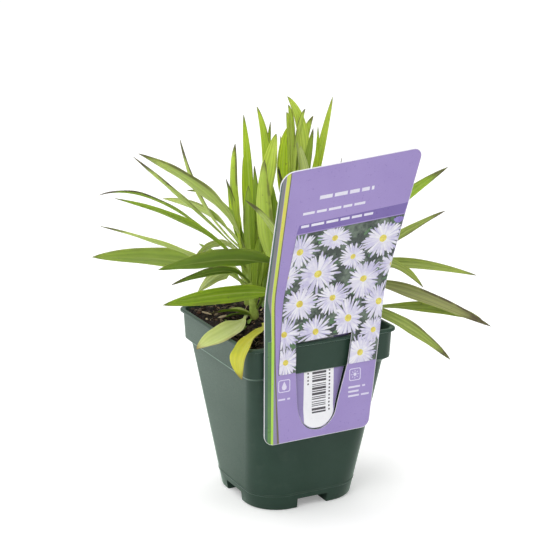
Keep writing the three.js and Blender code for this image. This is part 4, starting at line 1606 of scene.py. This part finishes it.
def clipped(shape: Outline, region: Outline) -> Outline:
    """The part of a shape that lies inside a convex region given counter-clockwise.

    Args:
        shape: The shape's outline.
        region: The region's outline.

    Returns:
        The part's outline, or no points.
    """
    for k, a in enumerate(region):
        b = region[(k + 1) % len(region)]

        def inside(p: Point) -> bool:
            """Whether a point lies on the inner side of the region's edge."""
            return (b[0] - a[0]) * (p[1] - a[1]) - (b[1] - a[1]) * (p[0] - a[0]) >= 0

        kept: Outline = []
        for j, point in enumerate(shape):
            before = shape[j - 1]
            if inside(point) != inside(before):
                one, two = Vector(before), Vector(point)
                edge = (b[0] - a[0], b[1] - a[1])
                start = edge[0] * (one.y - a[1]) - edge[1] * (one.x - a[0])
                end = edge[0] * (two.y - a[1]) - edge[1] * (two.x - a[0])
                kept.append(tuple(one.lerp(two, start / (start - end))))
            if inside(point):
                kept.append(point)
        shape = kept
        if len(shape) < 3:
            return []
    return shape


class Print:
    """Flat shapes on a card, each at its own small height, made into one object that follows the card."""

    def __init__(self, surface: Card | Tongue, thick: float = 0.02) -> None:
        """Keeps the surface and starts an empty flat mesh.

        Args:
            surface: The card or the tongue.
            thick: How thick the print is.
        """
        self.surface = surface
        self.thick = thick
        self.flat = bmesh.new()
        self.tone = self.flat.verts.layers.float.new("tone")

    def shape(
        self, outline: Outline, lift: float, finish: int = 0, tone: float = 0.0, hole: Outline | None = None
    ) -> None:
        """Adds one shape.

        Args:
            outline: Its outline.
            lift: How far it stands before the card.
            finish: Number of its material.
            tone: Value that its material reads.
            hole: Outline that is left out of it.
        """
        if len(outline) < 3:
            return
        rings = [outline] + ([hole] if hole else [])
        edges = []
        for ring in rings:
            verts = [self.flat.verts.new((u, s, lift)) for u, s in ring]
            for vertex in verts:
                vertex[self.tone] = tone
            if hole:
                edges += [self.flat.edges.new((verts[k - 1], verts[k])) for k in range(len(verts))]
            else:
                self.flat.faces.new(verts).material_index = finish
        if hole:
            filled = bmesh.ops.triangle_fill(self.flat, use_beauty=True, use_dissolve=False, edges=edges)
            for face in filled["geom"]:
                if isinstance(face, bmesh.types.BMFace):
                    face.material_index = finish

    def build(self, name: str, materials: list[Material], backs: int = 0) -> Piece:
        """Bends the shapes to the card, gives them their thickness and makes the object.

        Args:
            name: The object's name.
            materials: Its materials.
            backs: How far on in the materials the back and the rim of a shape are.

        Returns:
            The object.
        """
        for row in self.surface.rows():
            geometry = [*self.flat.verts, *self.flat.edges, *self.flat.faces]
            bmesh.ops.bisect_plane(
                self.flat, geom=geometry, dist=1e-5, plane_co=(0, row, 0), plane_no=(0, 1, 0)
            )
        for vertex in self.flat.verts:
            vertex.co = self.surface.point(vertex.co.x, vertex.co.y, -vertex.co.z) * MM
        for face in self.flat.faces:
            face.normal_update()
            if face.normal.y > 0:
                face.normal_flip()
        mesh = bpy.data.meshes.new(name)
        self.flat.to_mesh(mesh)
        self.flat.free()
        for material in materials:
            mesh.materials.append(material)
        piece = new_object(name, mesh)
        solid = piece.modifiers.new("thickness", "SOLIDIFY")
        solid.thickness = self.thick * MM
        solid.offset = -1.0
        solid.material_offset = solid.material_offset_rim = backs
        bake(piece)
        piece.data.shade_smooth()
        piece.data.set_sharp_from_angle(angle=math.radians(35.0))
        return piece


@dataclass
class Label:
    """The picture label: a bent card with a window cut round its tongue, and the print on both."""

    seed: int = 5
    left_top: Point = (-37.0, 158.8)
    right_top: Point = (45.4, 165.8)
    left_low: Point = (-36.2, 0.3)
    right_low: Point = (28.9, 1.0)
    window: tuple[Point, ...] = (
        (-17.6, 57.1), (-17.6, 41), (-16.9, 30), (-16.2, 20), (-14.2, 12.5), (-10.8, 7.6), (-6.2, 5.2),
        (-0.8, 5.2), (3.8, 7.8), (7.2, 12.4), (9.0, 19.5), (11, 27), (14.8, 41), (17.0, 58.5),
    )
    ink_thick: float = 0.012
    field_lift: float = 0.02
    picture_lift: float = 0.045
    stamp_lift: float = 0.0004
    mark_lift: float = 0.06
    blade_count: int = 90
    card: Card = field(default_factory=Card)
    tongue: Tongue = field(default_factory=Tongue)

    def outline(self, inset: float) -> Outline:
        """The card's outline, drawn in by a distance.

        Args:
            inset: The distance.

        Returns:
            The outline's points.
        """
        (x0, y0), (x1, y1), (x2, y2), (x3, y3) = self.left_low, self.right_low, self.right_top, self.left_top
        return rounded([
            (x0 + inset, y0 + inset, 6 - inset), (x1 - inset, y1 + inset, 5 - inset),
            (x2 - 1.15 * inset, y2 - inset, 5 - inset), (x3 + inset, y3 - inset, 8 - inset),
        ])

    def cut(self, grow: float = 0.0) -> Outline:
        """The window's smooth outline, widened by a distance.

        Args:
            grow: The distance.

        Returns:
            The outline's points.
        """
        points = [Vector((x, y, 0)) for x, y in self.window]
        line = [points[0]]
        last = len(points) - 2
        for k in range(1, last + 1):
            line.append(points[k])
            if k < last:
                before, after = points[max(k - 1, 1)], points[min(k + 2, last)]
                for share in (0.25, 0.5, 0.75):
                    line.append(catmull(before, points[k], points[k + 1], after, share))
        line.append(points[-1])
        middle = Vector((-1.0, 34.0, 0.0))
        return [tuple((point + (point - middle).normalized() * grow).to_2d()) for point in line]

    def tongue_outline(self, inset: float) -> Outline:
        """The tongue's outline: the window's, drawn in, without its upper part.

        Args:
            inset: How far it is drawn in.

        Returns:
            The outline's points.
        """
        low = [Vector((x, y)) for x, y in self.cut()[1:-1]]
        middle = Vector((-2.6, 30.0))
        sides = []
        for point in low:
            drawn = point.copy()
            drawn.x += math.copysign(inset, middle.x - point.x) * (1.0 if point.y > 12 else 0.75)
            drawn.y += inset * (1 - ease(point.y, 5.0, 12.0))
            sides.append(tuple(drawn))
        return [(-17.6 + inset, self.tongue.root), *sides, (17.1 - inset, self.tongue.root)]

    def white(self) -> Material:
        """Bare white plastic of the card's cut edges and back.

        Returns:
            The material.
        """
        white, shaded, dust = tint(236, 236, 238), tint(226, 226, 230), tint(208, 204, 198)
        return PlasticFinish("label_white", white, shaded, dust, (0.3, 0.42), 0.08, 0.15).material()

    def plate(self) -> None:
        """Builds the card and the tongue as white plastic."""
        white = self.white()
        back = PrintFinish("label_back", tint(232, 230, 236), tint(222, 219, 230)).material()
        sheet = Print(self.card, self.card.thick)
        sheet.shape(self.outline(0.0), 0.0, 0, hole=self.cut())
        dress(sheet.build("label_sheet", [white, back], 1), "label", "label_card")
        strip = Print(self.tongue, self.tongue.thick)
        strip.shape(self.tongue_outline(0.25), 0.0)
        dress(strip.build("label_tongue", [white]), "label")

    def fields(self) -> None:
        """The printed fields: lavender ground, title band and the stripes at the left."""
        inks = [
            PrintFinish("ink_lavender", tint(161, 143, 202), tint(151, 132, 194), 14.0),
            PrintFinish("ink_violet", tint(124, 104, 176), tint(114, 94, 166), 18.0),
            PrintFinish("ink_forest", tint(58, 92, 76), tint(72, 104, 88), 26.0),
            PrintFinish("ink_slate", tint(124, 124, 128), tint(112, 116, 116), 22.0),
            PrintFinish("ink_lime", tint(226, 212, 82), tint(176, 216, 78), 16.0),
            PrintFinish("ink_olive", tint(112, 102, 76), tint(98, 98, 78), 18.0),
            PrintFinish("ink_haze", tint(146, 136, 174), tint(134, 128, 158), 20.0),
            PrintFinish("ink_grass", tint(96, 146, 66), tint(72, 112, 72), 22.0),
            PrintFinish("ink_spring", tint(164, 218, 72), tint(196, 220, 78), 16.0),
        ]
        lift = self.field_lift
        print_ = Print(self.card)
        print_.shape(self.outline(0.25), lift, 0, hole=self.cut(0.05))
        print_.shape([(-23.6, 122.0), (40.4, 127.0), (42.0, 133.4), (-22.6, 127.2)], lift * 2, 1)
        # The ink's number, then distance along the card and the stripe's left and right side at each corner
        stripes = (
            (2, ((0, -37, -34.2), (60, -37, -34.6), (60.2, -37, -32.4), (74, -37, -32.8), (84, -37.2, -35.1),
                 (110, -37.4, -35.6), (161, -38, -36.2))),
            (3, ((74, -32.8, -32.7), (84, -35.1, -33.1), (110, -35.6, -33.6), (161, -36.2, -34.4))),
            (4, ((62, -32.3, -30.6), (110, -33.3, -31.4), (161, -34.1, -31.9))),
            (5, ((0, -28.5, -27.1), (25, -29.5, -28.7), (50, -30.6, -29.8), (110, -31.4, -30.8),
                 (161, -31.9, -31.4))),
            (6, ((0, -30.8, -28.5), (25, -30.8, -29.5), (50, -30.7, -30.6))),
            (7, ((0, -34.2, -32.2), (60, -34.6, -32.3))),
            (8, ((0, -32.2, -30.8), (62, -32.3, -30.6))),
        )
        edge = self.outline(0.2)
        for finish, line in stripes:
            band = [(right, s) for s, _, right in line] + [(left, s) for s, left, _ in reversed(line)]
            print_.shape(clipped(band, edge), lift * 2, finish)
        dress(print_.build("label_fields", [ink.material() for ink in inks]), "label")

    def regions(self) -> list[Outline]:
        """Convex parts of the picture: over the window and on each side of it.

        Returns:
            Their outlines, counter-clockwise.
        """
        return [
            [(-27.05, 58.6), (34.4, 58.6), (40.9, 126.4), (-23.3, 121.4)],
            [(-17.7, 57.15), (17.1, 58.55), (17.1, 58.6), (-17.7, 58.6)],
            [(-28.0, 40.2), (-17.7, 40.2), (-17.7, 58.6), (-27.05, 58.6)],
            [(14.9, 40.2), (32.4, 40.2), (34.4, 58.6), (17.1, 58.6)],
        ]

    def petal(self, middle: Point, angle: float, length: float, width: float) -> Outline:
        """Outline of one long petal that starts near a flower's middle.

        Args:
            middle: The flower's middle.
            angle: The petal's direction.
            length: Its length.
            width: Half its width.

        Returns:
            The outline's points.
        """
        half = ((0.15, 0.45), (0.45, 0.8), (0.75, 1.0), (0.92, 0.8), (1.0, 0.0))
        sides = [(a * length, b * width) for a, b in half]
        sides += [(a * length, -b * width) for a, b in half[-2::-1]]
        cos, sin = math.cos(angle), math.sin(angle)
        return [(middle[0] + x * cos - y * sin, middle[1] + x * sin + y * cos) for x, y in sides]

    def picture(self) -> None:
        """The printed picture: a generic bed of daisies over dark leaves, laid out for this label."""
        inks = [
            PrintFinish("ink_undergrowth", tint(48, 62, 54), tint(104, 120, 104), 120.0, low=0.42, high=0.6),
            PrintFinish("ink_leaf", tint(102, 148, 92), tint(62, 90, 66), 60.0),
            PrintFinish("ink_petal", tint(240, 239, 244), tint(180, 173, 216), 110.0, low=0.42, high=0.8),
            PrintFinish("ink_disc", tint(240, 232, 112), tint(212, 190, 66), 420.0, low=0.4, high=0.6),
            PrintFinish("ink_bud", tint(150, 132, 206), tint(116, 98, 176), 80.0),
            PrintFinish("ink_shade", tint(168, 160, 206), tint(138, 134, 172), 150.0, low=0.35, high=0.65),
        ]
        draw = random.Random(self.seed)
        print_ = Print(self.card, self.ink_thick)
        height = self.picture_lift

        def stamp(outline: Outline, finish: int, tone: float = 0.0) -> None:
            """Adds a shape inside the picture, a hair over the last one.

            Args:
                outline: The shape.
                finish: Number of its ink.
                tone: Value that its ink reads.
            """
            nonlocal height
            height += self.stamp_lift
            for region in self.regions():
                print_.shape(clipped(outline, region), height, finish, tone)

        for region in self.regions():
            print_.shape(region, height, 0)
        for _ in range(self.blade_count):
            middle = (draw.uniform(-28, 41), draw.uniform(40, 126))
            blade = self.petal(middle, any_angle(draw), draw.uniform(4, 8), draw.uniform(0.7, 1.5))
            stamp(blade, 1, draw.random() * 0.9)
        for u, s in ((38, 121), (33, 117), (-6, 96), (17, 60), (-22, 47), (-25, 61), (30, 69), (8, 78)):
            for turn in range(5):
                stamp(self.petal((u, s), 0.9 + 0.35 * turn, 4.6, 0.8), 4, draw.random() * 0.7)
        # Place across and along the card, radius and squash of each flower
        flowers = (
            (-26, 96, 10.0, 0.8), (39, 96, 10.5, 0.7), (0, 117, 11.0, 0.65), (-20, 111, 12.5, 0.9),
            (30, 113, 14.0, 0.85), (13, 104, 10.0, 0.8), (-7, 96, 14.0, 0.95), (22, 89, 13.0, 0.85),
            (-25, 63, 11.0, 0.85), (4, 80, 11.5, 0.9), (-16, 79, 12.8, 0.8), (33, 74, 12.0, 0.95),
            (14, 67, 13.0, 0.75), (-6, 62, 11.5, 0.85), (30, 58, 10.0, 0.8), (-24, 47, 10.4, 0.85),
            (22, 46, 11.6, 0.9),
        )
        for u, s, radius, squash in flowers:
            count, start, tilt = draw.randint(24, 29), any_angle(draw), draw.uniform(0, 3.14)

            def reach(angle: float) -> float:
                """Length of a petal in a direction, shorter across the flower's tilt."""
                return radius * (1 - (1 - squash) * math.sin(angle - tilt) ** 2)

            shade = []
            for k in range(24):
                angle = k / 24 * 2 * math.pi
                out = draw.uniform(0.46, 0.64) * reach(angle)
                shade.append((u + out * math.cos(angle), s + out * math.sin(angle)))
            stamp(shade, 5, draw.random())
            for layer, (share, low, high) in enumerate(((1.0, 0.3, 0.95), (0.88, 0.0, 0.45))):
                for k in range(count):
                    angle = start + (k + 0.5 * layer + draw.uniform(-0.35, 0.35)) / count * 2 * math.pi
                    length = reach(angle) * share * draw.uniform(0.74, 1.08)
                    petal = self.petal((u, s), angle, length, radius * draw.uniform(0.04, 0.056))
                    stamp(petal, 2, draw.uniform(low, high))
            rim = radius * 0.16
            disc = [(u + rim * math.cos(k * 0.3491), s + rim * math.sin(k * 0.3491)) for k in range(18)]
            stamp(disc, 3, 0.1)
            for k in range(13):
                angle, out = k * 2.4, rim * 0.85 * math.sqrt((k + 0.5) / 13)
                x, y = u + out * math.cos(angle), s + out * math.sin(angle)
                corners = (0, 1.05, 2.1, 3.14, 4.2, 5.25)
                stamp([(x + 0.26 * math.cos(t), y + 0.26 * math.sin(t)) for t in corners], 3, 1.0)
        dress(print_.build("label_picture", [ink.material() for ink in inks]), "label")

    def marks(self) -> None:
        """White bars where wording would be, and two plain care signs."""
        inks = [
            PrintFinish("ink_white", tint(236, 234, 244), tint(222, 218, 238), 40.0),
            PrintFinish("ink_lilac", tint(230, 225, 243), tint(214, 207, 234), 40.0),
        ]
        draw = random.Random(self.seed + 1)
        print_ = Print(self.card, self.ink_thick)
        lift = self.mark_lift

        def bars(u: float, s: float, end: float, slope: float, tall: float, finish: int = 0) -> None:
            """A row of short bars of uneven length, from one place across to another.

            Args:
                u: Where the row starts across the card.
                s: Its height there along the card, less the slope.
                end: Where it ends.
                slope: Its rise to the right.
                tall: How tall a bar is.
                finish: Number of its ink.
            """
            while u < end:
                length = min(draw.uniform(3.2, 8.5), end - u)
                base = s + slope * u
                far = base + slope * length
                bar = [(u, base), (u + length, far), (u + length, far + tall), (u, base + tall)]
                print_.shape(bar, lift, finish)
                u += length + 1.3

        slope = 0.075
        bars(-13.0, 142.4, 19.0, slope, 2.2)
        bars(-21.5, 134.6, 15.0, slope, 1.5)
        bars(-21.5, 127.0, 21.0, slope, 1.5)
        bars(-28.0, 25.4, -20.8, 0.0, 1.0, 1)
        for s, end in ((25.6, 26.0), (23.0, 22.0), (20.4, 28.5)):
            bars(15.4, s, end, 0.0, 1.1, 1)
        half, line = 3.6, 0.45
        sun = (19.4, 33.4)
        for middle in ((-24.4, 33.6), sun):
            inner = rounded_square(middle, half - line, 0.9)
            print_.shape(rounded_square(middle, half, 1.2), lift, 1, hole=inner)
        disc = [(sun[0] + math.cos(k * 0.524), sun[1] + math.sin(k * 0.524)) for k in range(12)]
        print_.shape(disc, lift, 1)
        for k in range(8):
            angle = k * math.pi / 4
            cos, sin = math.cos(angle), math.sin(angle)
            ray = ((1.5, -0.18), (2.5, -0.18), (2.5, 0.18), (1.5, 0.18))
            print_.shape([(sun[0] + a * cos - b * sin, sun[1] + a * sin + b * cos) for a, b in ray], lift, 1)
        drop = [
            (-24.4, 36.2), (-25.4, 34.2), (-25.9, 32.9), (-25.6, 31.8),
            (-24.4, 31.2), (-23.2, 31.8), (-22.9, 32.9), (-23.4, 34.2),
        ]
        print_.shape(drop, lift, 1)
        dress(print_.build("label_marks", [ink.material() for ink in inks]), "label")

    def tongue_print(self) -> None:
        """The tongue's print: lavender margins, a white patch and plain dark bars across it."""
        inks = [
            PrintFinish("ink_tongue", tint(150, 136, 190), tint(138, 124, 178), 14.0),
            PrintFinish("ink_patch", tint(250, 250, 252), tint(242, 242, 246), 30.0),
            PrintFinish("ink_bars", tint(62, 60, 66), tint(84, 82, 88), 50.0),
        ]
        print_ = Print(self.tongue, 0.015)
        print_.shape(self.tongue_outline(0.35), 0.02, 0)
        patch = block(-11.6, 0.0, 6.9, 56.0)
        print_.shape(clipped(self.tongue_outline(0.6), patch), 0.04, 1)
        draw = random.Random(self.seed + 2)
        s = 13.5
        while s < 44:
            tall = draw.choice((0.45, 0.6, 0.9, 1.3))
            print_.shape(block(-6.4, s, 2.2, s + tall), self.mark_lift, 2)
            s += tall + draw.choice((0.5, 0.7, 1.0))
        for u, low, high in ((-9.0, 29.0, 41.0), (4.3, 14.0, 40.0)):
            s = low
            while s < high:
                print_.shape(block(u - 0.45, s, u + 0.45, s + 0.9), self.mark_lift, 2)
                s += 1.9
        dress(print_.build("label_tongue_print", [ink.material() for ink in inks]), "label")

    def build(self) -> None:
        """Builds the card, the tongue and all the print."""
        self.plate()
        self.fields()
        self.picture()
        self.marks()
        self.tongue_print()


@dataclass
class Studio:
    """Pale floor, soft light and the camera at the photograph's angle."""

    eye: Place = (-407.0, -786.5, 378.3)
    aim: Place = (-5.86, 0.0, 127.0)
    lens: float = 106.5
    floor_radius: float = 9000.0
    floor_top: float = -0.05
    floor_thick: float = 2.0
    even_light: float = 0.5

    def camera(self) -> None:
        """Places the camera."""
        data = bpy.data.cameras.new("camera")
        data.lens = self.lens
        data.sensor_width = 36.0
        data.clip_start, data.clip_end = 0.05, 60.0
        camera = bpy.data.objects.new("camera", data)
        bpy.context.scene.collection.objects.link(camera)
        camera.location = Vector(self.eye) * MM
        camera.rotation_euler = (Vector(self.aim) - Vector(self.eye)).to_track_quat("-Z", "Y").to_euler()
        bpy.context.scene.camera = camera

    def floor(self) -> None:
        """Lays a wide round floor just under the pot's foot."""
        disc = Mesh()
        ring = [around((0, 0), self.floor_radius, k * math.pi / 32) for k in range(64)]
        low, top = Vector((0, 0, self.floor_top - self.floor_thick)), Vector((0, 0, self.floor_top))
        disc.rings([[point + low for point in ring], [point + top for point in ring]])
        floor = disc.build("floor", [FloorFinish().material()])

    def lamp(self, name: str, place: Place, size: float, power: float) -> None:
        """Hangs a soft square lamp that looks at the plant.

        Args:
            name: Its name.
            place: Where it hangs, in metres.
            size: Its side, in metres.
            power: Its power, in watts.
        """
        data = bpy.data.lights.new(name, "AREA")
        data.size = size
        data.energy = power
        lamp = bpy.data.objects.new(name, data)
        bpy.context.scene.collection.objects.link(lamp)
        lamp.location = place
        lamp.rotation_euler = (Vector((0, 0, 0.1)) - Vector(place)).to_track_quat("-Z", "Y").to_euler()

    def surround(self) -> bpy.types.World:
        """Even light all round, behind a backdrop that the camera sees as white.

        Returns:
            The world.
        """
        world = bpy.data.worlds.new("studio")
        world.use_nodes = True
        world.node_tree.nodes.clear()
        graph = Graph(world.node_tree)
        white = (1.0, 1.0, 1.0, 1.0)
        light = graph.add("ShaderNodeBackground", {"Color": white, "Strength": self.even_light})
        backdrop = graph.add("ShaderNodeBackground", {"Color": white, "Strength": 1.0})
        seen = graph.add("ShaderNodeLightPath").outputs["Is Camera Ray"]
        both = graph.add("ShaderNodeMixShader", {0: seen, 1: light.outputs[0], 2: backdrop.outputs[0]})
        graph.add("ShaderNodeOutputWorld", {"Surface": both.outputs[0]})
        return world

    def build(self) -> None:
        """Sets up the floor, the lamps, the even light all round and the camera."""
        scene = bpy.context.scene
        self.camera()
        self.floor()
        self.lamp("overhead", (0.0, 0.8, 6.0), 5.0, 190.0)
        self.lamp("key", (-1.1, -0.9, 1.5), 0.9, 12.0)
        self.lamp("fill", (1.3, -1.2, 0.9), 1.2, 4.0)
        self.lamp("back_light", (-1.2, 1.1, 0.45), 1.2, 8.0)
        scene.world = self.surround()
        scene.view_settings.view_transform = "Standard"


def main() -> None:
    """Builds the studio and every piece, in order."""
    logging.basicConfig(level=logging.INFO, format="%(name)s %(message)s")
    Studio().build()
    Pot().build()
    Soil().build()
    leaf, stem = LeafFinish("leaf_skin").material(), StemFinish("stem_skin").material()
    for shoot in SHOOTS:
        shoot.build([leaf, stem])
    for old in OLD_LEAVES:
        old.build()
    Label().build()


if __name__ == "__main__":
    main()
